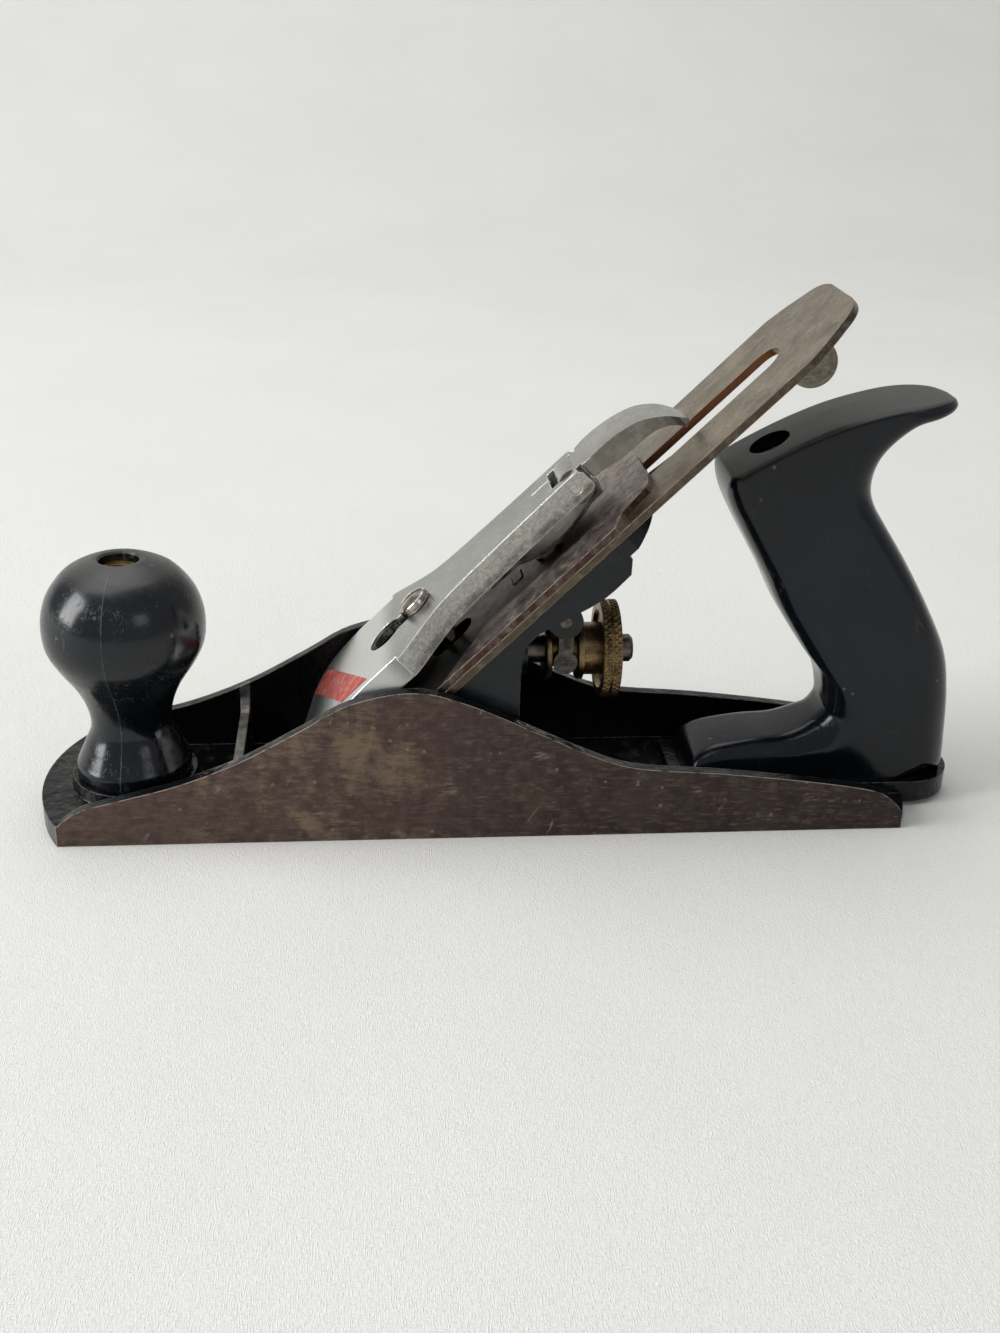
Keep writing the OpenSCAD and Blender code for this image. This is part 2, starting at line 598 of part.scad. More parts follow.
// The arms stay narrow beside the flanges of the hub, where they lean as the yoke swings
arm_hw = 2;
arm_z = wheel_z + hub_r + 0.4;
module yoke() {
    color("#4b4a47") difference() {
        union() {
            translate([yoke_at[0], 0, yoke_at[1]]) pin(lug_r - 0.6, 2 * lug_y - 0.6);
            for (side = [-1, 1]) {
                translate([pad_x, side * (fork_in + fork_t / 2), fork_z]) pin(pad_r, fork_t);
                across(fork_t, side * (fork_in + fork_t / 2)) polygon([[pad_x - arm_hw, fork_z],
                    [pad_x - arm_hw, arm_z], [yoke_at[0] - 3.9, yoke_at[1]],
                    [yoke_at[0] + 2.8, yoke_at[1] + 2.6], [yoke_at[0] + 5, yoke_at[1] - 2],
                    [pad_x + arm_hw, arm_z], [pad_x + arm_hw, fork_z]]);
            }
            // the finger that reaches through the bed and the blade into the cap iron
            bed() across(5) polygon([[yoke_u - 3.8, yoke_h], [finger_u - 1.5, iron_t - 0.6],
                [finger_u - 1.5, pair_t + 0.3], [finger_u + 1.5, pair_t + 0.3],
                [finger_u + 1.5, iron_t - 0.6], [yoke_u + 0.6, yoke_h + 3.4]]);
        }
        translate([yoke_at[0], 0, yoke_at[1]]) pin(yoke_pin_r + pin_gap, 40);
        // room for the hub between the arms
        translate([yoke_at[0] - 12, -fork_in, wheel_z - 12]) cube([24, 2 * fork_in, 12 + hub_r + 0.5]);
    }
}

module yoke_pin() {
    color("#6d6a63") translate([yoke_at[0], 0, yoke_at[1]]) pin(yoke_pin_r, 2 * (lug_y + lug_t));
}

// Lateral adjustment: lever, rivet and roller

lateral_pivot_r = 2.2;
strip_t = 1.6;
thumb_at = thumb_u * stretch;
arm_end = thumb_at - thumb_r + 1.5;
strip_low = -1.9;
roller_low = 0;
thumb_h = -6.7;
module lateral_lever() {
    color("#8b8d86") bed() difference() {
        union() {
            intersection() {
                across(20) polygon([[lateral_u - roller_arm - 6, strip_low],
                    [lateral_u - roller_arm - 6, strip_low + strip_t],
                    [lateral_u + 9, strip_low + strip_t], [arm_end, thumb_h + strip_t / 2 + 1.2],
                    [arm_end, thumb_h - strip_t / 2 + 1.2], [lateral_u + 9.5, strip_low]]);
                translate([0, 0, -20]) linear_extrude(30) polygon(both_sides(concat(
                    [for (a = [0:15:90]) [lateral_u - roller_arm - 4.2 * cos(a), 4.2 * sin(a)]],
                    [[lateral_u - 2, 5.4], [lateral_u + 3, 5.4], [lateral_u + 9, 3.8], [arm_end, 3.2]])));
            }
            translate([thumb_at, 0, thumb_h]) {
                pin(thumb_r, 2.6);
                pin(thumb_r - 1.4, 3.4);
            }
            translate([arm_end - 3, -1.3, thumb_h - strip_t / 2 + 1.2]) cube([thumb_r, 2.6, strip_t]);
        }
        translate([lateral_u, 0, -20]) cylinder(r = lateral_pivot_r + pin_gap, h = 40);
        translate([lateral_u - roller_arm, 0, -20]) cylinder(r = 1.5, h = 40);
    }
}

module lateral_pivot() {
    color("#77736a") bed() {
        translate([lateral_u, 0, -7.8]) cylinder(r = lateral_pivot_r, h = 7.8 + strip_low + strip_t + 0.1);
        translate([lateral_u, 0, strip_low + strip_t + 0.05])
            cylinder(r = lateral_pivot_r + 0.9, h = -strip_low - strip_t - 0.15);
    }
}

module lateral_roller() {
    color("#9b978c") bed() translate([lateral_u - roller_arm, 0, 0]) {
        translate([0, 0, strip_low]) cylinder(r = 1.5, h = 2);
        translate([0, 0, strip_low + strip_t]) cylinder(r = roller_r, h = iron_t - 0.1 - strip_low - strip_t);
    }
}

// Blade, cap iron and the screw that joins them

iron_edge_u = -iron_t + edge_lift * diag;
iron_end = iron_l * stretch;
slot_to = slot_end * stretch;
bevel_l = 4.1;
top_side = [[iron_end - 18, iron_hw], [iron_end - 12, iron_hw - 2], [iron_end - 7, iron_hw - 4.4],
    [iron_end - 3.6, iron_hw - 6.2], [iron_end - 1.2, iron_hw - 9], [iron_end, iron_hw - 13]];
big_hole_u = screw_u + 1;
big_hole_r = 8;
module iron() {
    color("#83796c") bed() difference() {
        intersection() {
            linear_extrude(iron_t) polygon(both_sides(concat([[iron_edge_u, iron_hw]], curve(top_side, 3))));
            across(4 * iron_hw) polygon([[iron_edge_u, iron_t], [iron_edge_u + bevel_l, 0],
                [iron_end + cut, 0], [iron_end + cut, iron_t]]);
        }
        translate([big_hole_u, 0, -cut]) cylinder(r = big_hole_r, h = iron_t + 2 * cut);
        translate([big_hole_u, -slot_hw, -cut])
            cube([slot_to - slot_hw - big_hole_u, 2 * slot_hw, iron_t + 2 * cut]);
        translate([slot_to - slot_hw, 0, -cut]) cylinder(r = slot_hw, h = iron_t + 2 * cut);
    }
}

cap_edge_u = 2.4;
hump = 1.5;
screw_room = 3;
module cap_iron() {
    low = iron_t;
    top = iron_t + cap_t;
    color("#71665c") bed() difference() {
        intersection() {
            linear_extrude(30) polygon(both_sides([[0, iron_hw], [cap_l - 14, iron_hw],
                [cap_l - 10.5, iron_hw - 5.2], [cap_l - 2, iron_hw - 7.1], [cap_l - 0.5, iron_hw - 9.5],
                [cap_l, iron_hw - 14]]));
            across(4 * iron_hw) polygon(concat(curve([[cap_edge_u, low], [cap_edge_u + 3, low + hump * 0.5],
                [cap_edge_u + 7, low + hump], [cap_edge_u + 12, low + hump * 0.6],
                [cap_edge_u + 18, low]], 3),
                [[cap_l + cut, low], [cap_l + cut, top]],
                curve([[cap_edge_u + 19, top], [cap_edge_u + 12.5, top + hump * 0.7],
                [cap_edge_u + 7, top + hump],
                [cap_edge_u + 2.6, top + hump * 0.1], [cap_edge_u, low + 0.1]], 3)));
        }
        hull() for (u = [screw_u - screw_room, screw_u + screw_room]) translate([u, 0, 0])
            cylinder(r = screw_shank_r + 1.2, h = 20, $fn = 32);
        translate([finger_u - 1.9, -3, 0]) cube([3.8, 6, 20]);
        translate([cap_screw_u, 0, 0]) cylinder(r = cap_screw_r + screw_gap, h = 20);
    }
}

cap_screw_r = 3.9;
module cap_iron_screw() {
    color("#5d5650") bed() translate([cap_screw_u, 0, 0]) difference() {
        union() {
            cylinder(r = cap_screw_r, h = pair_t + 0.8);
            translate([0, 0, -cap_screw_head_t]) cylinder(r = cap_screw_head_r, h = cap_screw_head_t);
        }
        translate([-cap_screw_head_r - cut, -0.8, -cap_screw_head_t - cut])
            cube([2 * cap_screw_head_r + 2 * cut, 1.6, 1.2 + cut]);
    }
}

// Lever cap with its cam lever, pin, spring, rivet and label

lever_low = lever_top - lever_wall_h;
nose_u = 4.6;
wide_u = 54.5;
lip_h = pair_t + hump + 0.3;
nose_top = [[42, lever_top], [30, lever_top - 1.1], [20, lever_top - 4], [10, lever_top - 9.2],
    [nose_u, lip_h + 0.4]];
ear_end = 4.2;
lever_half = curve([[wide_u, iron_hw], [57.5, iron_hw - 1.4], [62, lever_neck_hw + 8.2],
    [66.5, lever_neck_hw + 5.3], [71, lever_neck_hw + 3.1], [78, lever_neck_hw + 1.7],
    [88, lever_neck_hw + 0.9], [100, lever_neck_hw + 0.2],
    [cam_u + ear_end + 1, lever_neck_hw - 0.4]], 4);
notch_hw = 6;
// Share of the half width by which the polished sides of the nose lean in
nose_bevel = 0.12;
notch_u = cam_u - 4.9;
keyhole_u = screw_u - keyhole_l;

module lever_outline(inset) {
    polygon(both_sides(concat([[nose_u - cut, iron_hw - inset]],
        [for (p = lever_half) [p[0], p[1] - inset]])));
}

module lever_section() {
    across(4 * iron_hw) polygon(concat(reversed(curve(nose_top, 4)), [[cam_u + 3, lever_top],
        [cam_u + ear_end, lever_top - 1.6], [cam_u + ear_end, lever_low + 0.8],
        [cam_u + ear_end - 1.5, lever_low], [24, lever_low], [15, lip_h], [nose_u, lip_h]]));
}

module lever_cap() {
    color("#b9b8b4") bed() difference() {
        intersection() {
            linear_extrude(lever_top + cut) lever_outline(0);
            lever_section();
            union() {
                rotate([90, 0, 90]) linear_extrude(wide_u)
                    polygon([for (p = [[-1, 0], [-1, lever_low - 1], [-1 + nose_bevel, lever_top + cut],
                        [1 - nose_bevel, lever_top + cut], [1, lever_low - 1], [1, 0]])
                        [p[0] * iron_hw, p[1]]]);
                translate([wide_u - 0.01, -2 * iron_hw, 0]) cube([iron_l, 4 * iron_hw, 30]);
            }
        }
        // hollow underside
        intersection() {
            translate([0, 0, -cut]) linear_extrude(lever_top - lever_plate + cut) lever_outline(lever_wall);
            translate([27, -2 * iron_hw, 0]) cube([notch_u - 27 + 20, 4 * iron_hw, 30]);
        }
        // keyhole
        translate([keyhole_u, 0, 0]) cylinder(r = screw_head_r + 1, h = 30);
        translate([keyhole_u, -screw_shank_r - 0.4, 0]) cube([keyhole_l, 2 * screw_shank_r + 0.8, 30]);
        translate([screw_u, 0, 0]) cylinder(r = screw_shank_r + 0.4, h = 30);
        // room for the cam between the ears, its pin hole and the sawn slit ahead of it
        translate([notch_u, -notch_hw, 0]) cube([20, 2 * notch_hw, 30]);
        translate([cam_u, 0, cam_h]) pin(cam_pin_r + screw_gap, 40);
        translate([notch_u - 6, 1.2, lever_top - 0.8]) cube([8, 0.8, 3]);
    }
    // boss that the spring is riveted to
    color("#b9b8b4") bed() translate([rivet_u, 0, spring_top]) difference() {
        cylinder(r = 4.2, h = lever_top - lever_plate - spring_top + 0.01);
        translate([0, 0, -cut]) cylinder(r = rivet_r + screw_gap, h = 3.5 + cut);
    }
}

head_t = 3.4;
module lever_cap_screw() {
    color("#8f7a63") bed() translate([screw_u, 0, 0]) difference() {
        union() {
            translate([0, 0, -bed_t - boss_depth + 1])
                cylinder(r = screw_shank_r, h = lever_top + 0.3 + bed_t + boss_depth - 1);
            translate([0, 0, lever_top + 0.15]) intersection() {
                cylinder(r = screw_head_r, h = head_t);
                translate([0, 0, head_t - 9]) sphere(r = 9, $fn = fine);
            }
        }
        translate([-screw_head_r - cut, -0.6, lever_top + head_t - 1.2])
            cube([2 * screw_head_r + 2 * cut, 1.2, 5]);
    }
}

cam_hub_r = 4.1;
lobe_r = 4.6;
lobe_drop = 1.2;
cam_tip_u = cam_u + cam_lever_l;
cam_wide_u = cam_u + 5;
cam_t = 2.5;
// Heights of the top of the cam lever along its length, as shares of that length
cam_back = [[0, lever_top - 0.5], [0.23, lever_top - 0.1], [0.42, lever_top - 0.2], [0.6, lever_top - 1.1],
    [0.75, lever_top - 2.9], [0.88, lever_top - 6.2], [0.955, lever_top - 9.6], [1, lever_top - 12.4]];
// and of its underside, which hangs low between its two ends
cam_belly = [[0, lever_top - 1 - cam_t], [0.23, lever_top - 2.5 - cam_t], [0.45, lever_top - 3.7 - cam_t],
    [0.62, lever_top - 4.1 - cam_t], [0.74, lever_top - 4.6 - cam_t], [0.84, lever_top - 6 - cam_t],
    [0.9, lever_top - 7.8 - cam_t], [0.95, lever_top - 13]];
module cam_lever() {
    function along(p) = [for (q = p) [cam_u + q[0] * cam_lever_l, q[1]]];
    tip = cam_lever_hw - 1.5;
    color("#b4b3ae") bed() difference() {
        union() {
            intersection() {
                across(2 * cam_lever_hw)
                    polygon(concat(curve(along(cam_back), 3), reversed(curve(along(cam_belly), 3))));
                translate([0, 0, -10]) linear_extrude(40) polygon(both_sides(concat(
                    [[cam_u - 1, notch_hw - 0.3], [cam_wide_u, notch_hw - 0.3],
                    [cam_wide_u, cam_lever_hw - 0.8], [cam_wide_u + 3, cam_lever_hw]],
                    [for (a = [90:-15:0]) [cam_tip_u - tip + tip * cos(a) + 0.3, tip * sin(a)]])));
            }
            translate([cam_u, 0, cam_h]) pin(cam_hub_r, 2 * notch_hw - 0.6);
            translate([cam_u, 0, cam_h - lobe_drop]) pin(lobe_r, 2 * notch_hw - 0.6);
        }
        translate([cam_u, 0, cam_h]) pin(cam_pin_r + pin_gap, 40);
    }
}

module cam_pin() {
    color("#87837b") bed() translate([cam_u, 0, cam_h]) pin(cam_pin_r, 2 * lever_neck_hw - 1.2);
}

spring_t = 1.1;
spring_hw = 5.2;
rivet_u = 86.5;
rivet_r = 1.6;
under_cam = cam_h - lobe_drop - lobe_r - 0.3;
spring_top = under_cam + spring_t;
module cam_spring() {
    line = concat([[rivet_u - 5, spring_top]],
        curve([[rivet_u + 4.6, spring_top], [rivet_u + 9, pair_t + 3.4], [cam_u - 13, pair_t + 2],
        [cam_u - 6, pair_t + 2.8], [cam_u, under_cam], [cam_u + 4, under_cam + 0.2]], 3));
    color("#7d7b76") bed() difference() {
        across(2 * spring_hw) polygon(concat(line, reversed([for (p = line) [p[0], p[1] - spring_t]])));
        translate([rivet_u, 0, 0]) cylinder(r = rivet_r + screw_gap, h = 30);
    }
}

module spring_rivet() {
    color("#77736a") bed() translate([rivet_u, 0, spring_top]) {
        translate([0, 0, -spring_t]) cylinder(r = rivet_r, h = spring_t + 3);
        translate([0, 0, -spring_t - 0.9]) cylinder(r = rivet_r + 1, h = 0.9);
    }
}

label_t = 0.15;
module label() {
    line = curve(nose_top, 4);
    color("#c2443c") bed() intersection() {
        across(4 * iron_hw) polygon(concat(line, [for (p = reversed(line)) [p[0], p[1] + label_t]],
            [[48, lever_top + label_t], [48, lever_top]]));
        linear_extrude(30) polygon([[27, 17.2], [43.7, -16.8], [33.7, -15.4], [18.2, 18.6]]);
    }
}

body();
knob();
knob_rod();
knob_nut();
tote();
tote_rod();
tote_nut();
frog();
frog_screws();
frog_washers();
adjusting_stud();
depth_wheel();
yoke();
yoke_pin();
lateral_lever();
lateral_pivot();
lateral_roller();
iron();
cap_iron();
cap_iron_screw();
lever_cap();
lever_cap_screw();
cam_lever();
cam_pin();
cam_spring();
spring_rivet();
label();
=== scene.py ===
"""Looks of a smoothing plane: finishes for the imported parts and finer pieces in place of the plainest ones.

The sole lies on Z = 0, X runs from the toe to the heel and Y across. Sizes in the dataclasses are millimetres;
meshes are metres. Bed coordinates are u up the 45 degree bed, y across and h above it.
"""

from __future__ import annotations

import logging
import math
from dataclasses import dataclass, field
from enum import Enum

import bmesh
import bpy
import numpy as np
from mathutils import Matrix


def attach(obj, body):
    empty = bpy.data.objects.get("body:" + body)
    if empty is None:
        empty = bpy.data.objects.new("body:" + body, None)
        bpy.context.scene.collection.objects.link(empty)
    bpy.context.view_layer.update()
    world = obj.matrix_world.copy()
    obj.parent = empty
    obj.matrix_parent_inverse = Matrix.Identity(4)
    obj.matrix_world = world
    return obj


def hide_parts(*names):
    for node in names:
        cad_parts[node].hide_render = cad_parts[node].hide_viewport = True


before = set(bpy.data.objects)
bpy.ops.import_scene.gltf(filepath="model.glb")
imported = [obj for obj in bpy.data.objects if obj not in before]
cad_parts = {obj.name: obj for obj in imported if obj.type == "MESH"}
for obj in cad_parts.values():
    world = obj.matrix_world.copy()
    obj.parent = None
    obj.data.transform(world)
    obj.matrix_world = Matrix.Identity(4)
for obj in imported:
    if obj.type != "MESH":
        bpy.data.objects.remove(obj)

log = logging.getLogger("plane")
MM = 0.001
MOUTH_X = -57.3
UNDER_CAP = 10.2
Socket = bpy.types.NodeSocket
Colour = tuple[float, float, float]


def tone(red: int, green: int, blue: int) -> Colour:
    """A screen colour, 0 to 255 in each part, as the linear colour that a shader takes.

    Args:
        red: red part.
        green: green part.
        blue: blue part.

    Returns:
        The linear colour, each part c/12.92 below 0.04 and ((c + 0.055)/1.055)^2.4 above.
    """
    parts = np.array([red, green, blue]) / 255
    linear = np.where(parts < 0.04045, parts / 12.92, ((parts + 0.055) / 1.055) ** 2.4)
    return tuple(float(c) for c in linear)


def on_bed(u: np.ndarray, y: np.ndarray, h: np.ndarray) -> np.ndarray:
    """Bed coordinates as points of the plane: x = mouth + (u - h)/sqrt 2, z = (u + h)/sqrt 2.

    Args:
        u: distance up the bed, mm.
        y: distance across, mm.
        h: height above the bed, mm.

    Returns:
        Points in mm, with the three coordinates in the last axis.
    """
    u, y, h = np.broadcast_arrays(u, y, h)
    return np.stack([MOUTH_X + (u - h) / math.sqrt(2), y, (u + h) / math.sqrt(2)], -1)


def smooth_line(knots: list[list[float]], steps: int, closed: bool = False) -> np.ndarray:
    """A Catmull-Rom curve through the knots: each span is 0.5(2b + (c-a)t + (2a-5b+4c-d)t2 + (3b-a-3c+d)t3).

    Args:
        knots: points that the curve passes through, with any number of coordinates.
        steps: points to each span.
        closed: whether the last knot joins the first.

    Returns:
        The points of the curve, one row each.
    """
    p = np.asarray(knots, float)
    padded = np.vstack([p[-1:], p, p[:2]]) if closed else np.vstack([p[:1], p, p[-1:]])
    a, b, c, d = padded[:-3, None], padded[1:-2, None], padded[2:-1, None], padded[3:, None]
    t = (np.arange(steps) / steps)[None, :, None]
    spans = 0.5 * (2 * b + (c - a) * t + (2 * a - 5 * b + 4 * c - d) * t**2 + (3 * b - a - 3 * c + d) * t**3)
    line = spans.reshape(-1, p.shape[1])
    return line if closed else np.vstack([line, p[-1:]])


def skin(points: np.ndarray, round_rows: bool = False, round_cols: bool = False) -> np.ndarray:
    """The quads of a grid of points, as index rows.

    Args:
        points: grid of points, rows by columns by 3.
        round_rows: whether the last row joins the first.
        round_cols: whether the last column joins the first.

    Returns:
        One row of four indices for each quad.
    """
    rows, cols = points.shape[:2]
    index = np.arange(rows * cols).reshape(rows, cols)
    if round_rows:
        index = np.vstack([index, index[:1]])
    if round_cols:
        index = np.hstack([index, index[:, :1]])
    return np.stack([index[:-1, :-1], index[:-1, 1:], index[1:, 1:], index[1:, :-1]], -1).reshape(-1, 4)


def solid(name: str, parts: list[tuple[np.ndarray, np.ndarray]], crease: float = 35) -> bpy.types.Object:
    """A mesh object from grids and their faces, merged, turned outwards and smooth shaded.

    Args:
        name: name of the piece.
        parts: pairs of points in mm (any shape with 3 last) and faces as index rows.
        crease: angle in degrees above which an edge stays sharp.

    Returns:
        The new object, at the origin.
    """
    mesh = bpy.data.meshes.new(name)
    points, faces, base = [], [], 0
    for grid, quads in parts:
        flat = grid.reshape(-1, 3)
        points.append(flat)
        faces += (quads + base).tolist()
        base += len(flat)
    mesh.from_pydata((np.vstack(points) * MM).tolist(), [], faces)
    edit = bmesh.new()
    edit.from_mesh(mesh)
    bmesh.ops.remove_doubles(edit, verts=edit.verts, dist=2e-6)
    bmesh.ops.dissolve_degenerate(edit, edges=edit.edges, dist=1e-7)
    bmesh.ops.recalc_face_normals(edit, faces=edit.faces)
    edit.to_mesh(mesh)
    edit.free()
    return placed(name, mesh, crease)


def placed(name: str, mesh: bpy.types.Mesh, crease: float) -> bpy.types.Object:
    """An object for the mesh, smooth shaded except at edges sharper than crease degrees."""
    mesh.shade_smooth()
    mesh.set_sharp_from_angle(angle=math.radians(crease))
    piece = bpy.data.objects.new(name, mesh)
    bpy.context.scene.collection.objects.link(piece)
    return piece


def cut_away(piece: bpy.types.Object, points: np.ndarray, faces: np.ndarray, crease: float) -> None:
    """Takes a closed shape out of a piece, for good.

    Args:
        piece: the piece, whose mesh is replaced.
        points: the shape's points, mm.
        faces: its faces as index rows.
        crease: angle in degrees above which an edge of the result stays sharp.
    """
    tool = solid("tool", [(points, faces)])
    cut = piece.modifiers.new("cut", "BOOLEAN")
    cut.operation, cut.object, cut.solver = "DIFFERENCE", tool, "EXACT"
    shape = bpy.data.meshes.new_from_object(piece.evaluated_get(bpy.context.evaluated_depsgraph_get()))
    piece.modifiers.clear()
    piece.data = shape
    bpy.data.objects.remove(tool)
    shape.shade_smooth()
    shape.set_sharp_from_angle(angle=math.radians(crease))


def turned(profile: np.ndarray, steps: int, ripple: np.ndarray | None = None) -> tuple[np.ndarray, np.ndarray]:
    """A profile turned round Z: point (r, z) becomes (r cos a, r sin a, z), with r scaled by the ripple.

    Args:
        profile: rows of radius and height, mm.
        steps: number of columns round the axis.
        ripple: optional change of radius, mm, profile rows by steps.

    Returns:
        The grid of points and its faces.
    """
    angle = np.linspace(0, 2 * math.pi, steps, endpoint=False)[None, :]
    radius = profile[:, :1] + (0 if ripple is None else ripple)
    grid = np.stack([radius * np.cos(angle), radius * np.sin(angle), profile[:, 1:] + 0 * angle], -1)
    return grid, skin(grid, round_cols=True)


class Bench:
    """One material on the bench: its node tree, with a short method for each kind of node that is used."""

    def __init__(self, name: str, specular: float = 0.5) -> None:
        """Starts an empty material with a shader of that specular level and object coordinates."""
        self.material = bpy.data.materials.new(name)
        self.material.use_nodes = True
        self.tree = self.material.node_tree
        self.tree.nodes.clear()
        self.shader = self.node("ShaderNodeBsdfPrincipled")
        self.shader.inputs["Specular IOR Level"].default_value = specular
        self.link(self.shader.outputs[0], self.node("ShaderNodeOutputMaterial").inputs["Surface"])
        self.place = self.node("ShaderNodeTexCoord").outputs["Object"]

    def node(self, kind: str) -> bpy.types.Node:
        """Adds a node of that kind."""
        return self.tree.nodes.new(kind)

    def link(self, source: Socket | float | Colour, target: Socket) -> None:
        """Feeds the target from a socket, or sets it to a number or colour."""
        if isinstance(source, bpy.types.NodeSocket):
            self.tree.links.new(source, target)
        elif isinstance(source, tuple) and len(target.default_value) == 4:
            target.default_value = (*source, 1.0)
        else:
            target.default_value = source

    def math(self, kind: str, *values: Socket | float) -> Socket:
        """The result of a Math node on up to three values."""
        made = self.node("ShaderNodeMath")
        made.operation = kind
        for value, target in zip(values, made.inputs):
            self.link(value, target)
        return made.outputs[0]

    def both(self, *masks: Socket | float) -> Socket:
        """The product of masks."""
        total = masks[0]
        for mask in masks[1:]:
            total = self.math("MULTIPLY", total, mask)
        return total

    def either(self, *masks: Socket | float) -> Socket:
        """The largest of masks."""
        total = masks[0]
        for mask in masks[1:]:
            total = self.math("MAXIMUM", total, mask)
        return total

    def ramp(self, value: Socket, low: float, high: float, start: float = 0, end: float = 1) -> Socket:
        """Start below low, end above high, and a smooth step between them."""
        made = self.node("ShaderNodeMapRange")
        made.interpolation_type = "SMOOTHSTEP"
        for source, target in zip((value, low, high, start, end), made.inputs):
            self.link(source, target)
        return made.outputs[0]

    def along(self, direction: tuple[float, float, float], start: float = 0) -> Socket:
        """Distance in mm along a direction, less the start."""
        dot = self.node("ShaderNodeVectorMath")
        dot.operation = "DOT_PRODUCT"
        self.link(self.place, dot.inputs[0])
        dot.inputs[1].default_value = [c / MM for c in direction]
        return self.math("SUBTRACT", dot.outputs["Value"], start)

    def near(self, value: Socket, middle: float, half: float, soft: float = 0.15) -> Socket:
        """1 within half of the middle, 0 beyond, with a soft edge."""
        return self.ramp(self.math("ABSOLUTE", self.math("SUBTRACT", value, middle)), half, half + soft, 1, 0)

    def mapped(self, stretch: tuple[float, float, float], turn: tuple[float, float, float]) -> Socket:
        """Object coordinates, turned and then scaled."""
        made = self.node("ShaderNodeMapping")
        made.vector_type = "TEXTURE"
        self.link(self.place, made.inputs["Vector"])
        made.inputs["Rotation"].default_value = [math.radians(a) for a in turn]
        made.inputs["Scale"].default_value = [1 / s for s in stretch]
        return made.outputs[0]

    def noise(self, size: float, detail: float = 4, rough: float = 0.55,
              stretch: tuple[float, float, float] = (1, 1, 1), turn: tuple[float, float, float] = (0, 0, 0),
              warp: float = 0) -> Socket:
        """Cloudy noise from 0 to 1.

        Args:
            size: size of its largest blotches, mm.
            detail: how many finer layers it has.
            rough: how strong those are.
            stretch: how much finer it is along each axis.
            turn: turn of those axes, degrees.
            warp: how much it is distorted.

        Returns:
            The noise's value.
        """
        made = self.node("ShaderNodeTexNoise")
        self.link(self.mapped(stretch, turn), made.inputs["Vector"])
        for key, value in (("Scale", 1 / (size * MM)), ("Detail", detail), ("Roughness", rough), ("Distortion", warp)):
            made.inputs[key].default_value = value
        return made.outputs[0]

    def specks(self, size: float, share: float) -> Socket:
        """Scattered specks, 1 inside: the nearer part of a cell whose own random number is below the share.

        Args:
            size: distance between specks, mm.
            share: share of the cells that hold one.

        Returns:
            The mask.
        """
        made = self.node("ShaderNodeTexVoronoi")
        self.link(self.place, made.inputs["Vector"])
        made.inputs["Scale"].default_value = 1 / (size * MM)
        parts = self.node("ShaderNodeSeparateColor")
        self.link(made.outputs["Color"], parts.inputs[0])
        return self.both(self.ramp(made.outputs["Distance"], 0.16, 0.3, 1, 0), self.ramp(parts.outputs[0], share, share + 0.01, 1, 0))

    def scratches(self, size: float, stretch: tuple[float, float, float], turn: tuple[float, float, float],
                  thin: float = 0.012, share: float = 0.55) -> Socket:
        """Thin broken lines: the middle value of a stretched noise, kept where a slower noise is high.

        Args:
            size: distance between lines, mm.
            stretch: how much finer the noise is along each axis; below 1 is the lines' direction.
            turn: turn of those axes, degrees.
            thin: half width of the lines in the noise's value.
            share: value above which the slow noise keeps a line.

        Returns:
            The mask.
        """
        lines = self.math("ABSOLUTE", self.math("SUBTRACT", self.noise(size, 2, 0.5, stretch, turn), 0.5))
        return self.both(self.ramp(lines, thin, 2.2 * thin, 1, 0), self.ramp(self.noise(size * 2.5, 3), share, share + 0.08))

    def mix(self, share: Socket | float, first: Socket | Colour, second: Socket | Colour) -> Socket:
        """The first colour, going to the second as the share goes to 1."""
        made = self.node("ShaderNodeMix")
        made.data_type = "RGBA"
        self.link(share, made.inputs[0])
        self.link(first, made.inputs[6])
        self.link(second, made.inputs[7])
        return made.outputs[2]

    def mix_value(self, share: Socket, first: Socket | float, second: Socket | float) -> Socket:
        """The first value, going to the second as the share goes to 1."""
        made = self.node("ShaderNodeMix")
        self.link(share, made.inputs[0])
        self.link(first, made.inputs[2])
        self.link(second, made.inputs[3])
        return made.outputs[0]

    def worn(self, radius: float, low: float = 0.02, high: float = 0.16) -> Socket:
        """Mask of the sharp edges: how far the normal, averaged over the radius in mm, leaves the face's own. It marks
        worn edges, and also edges that carry a painted highlight.
        """
        round_off = self.node("ShaderNodeBevel")
        round_off.samples = 4
        round_off.inputs[0].default_value = radius * MM
        dot = self.node("ShaderNodeVectorMath")
        dot.operation = "DOT_PRODUCT"
        self.link(round_off.outputs[0], dot.inputs[0])
        self.link(self.node("ShaderNodeNewGeometry").outputs["Normal"], dot.inputs[1])
        return self.ramp(self.math("SUBTRACT", 1.0, dot.outputs["Value"]), low, high)

    def flank(self, low: float = 0.5, high: float = 0.75) -> Socket:
        """Mask of the faces that look across the plane, from the y part of the object's own normal."""
        parts = self.node("ShaderNodeSeparateXYZ")
        self.link(self.place.node.outputs["Normal"], parts.inputs[0])
        return self.ramp(self.math("ABSOLUTE", parts.outputs[1]), low, high)

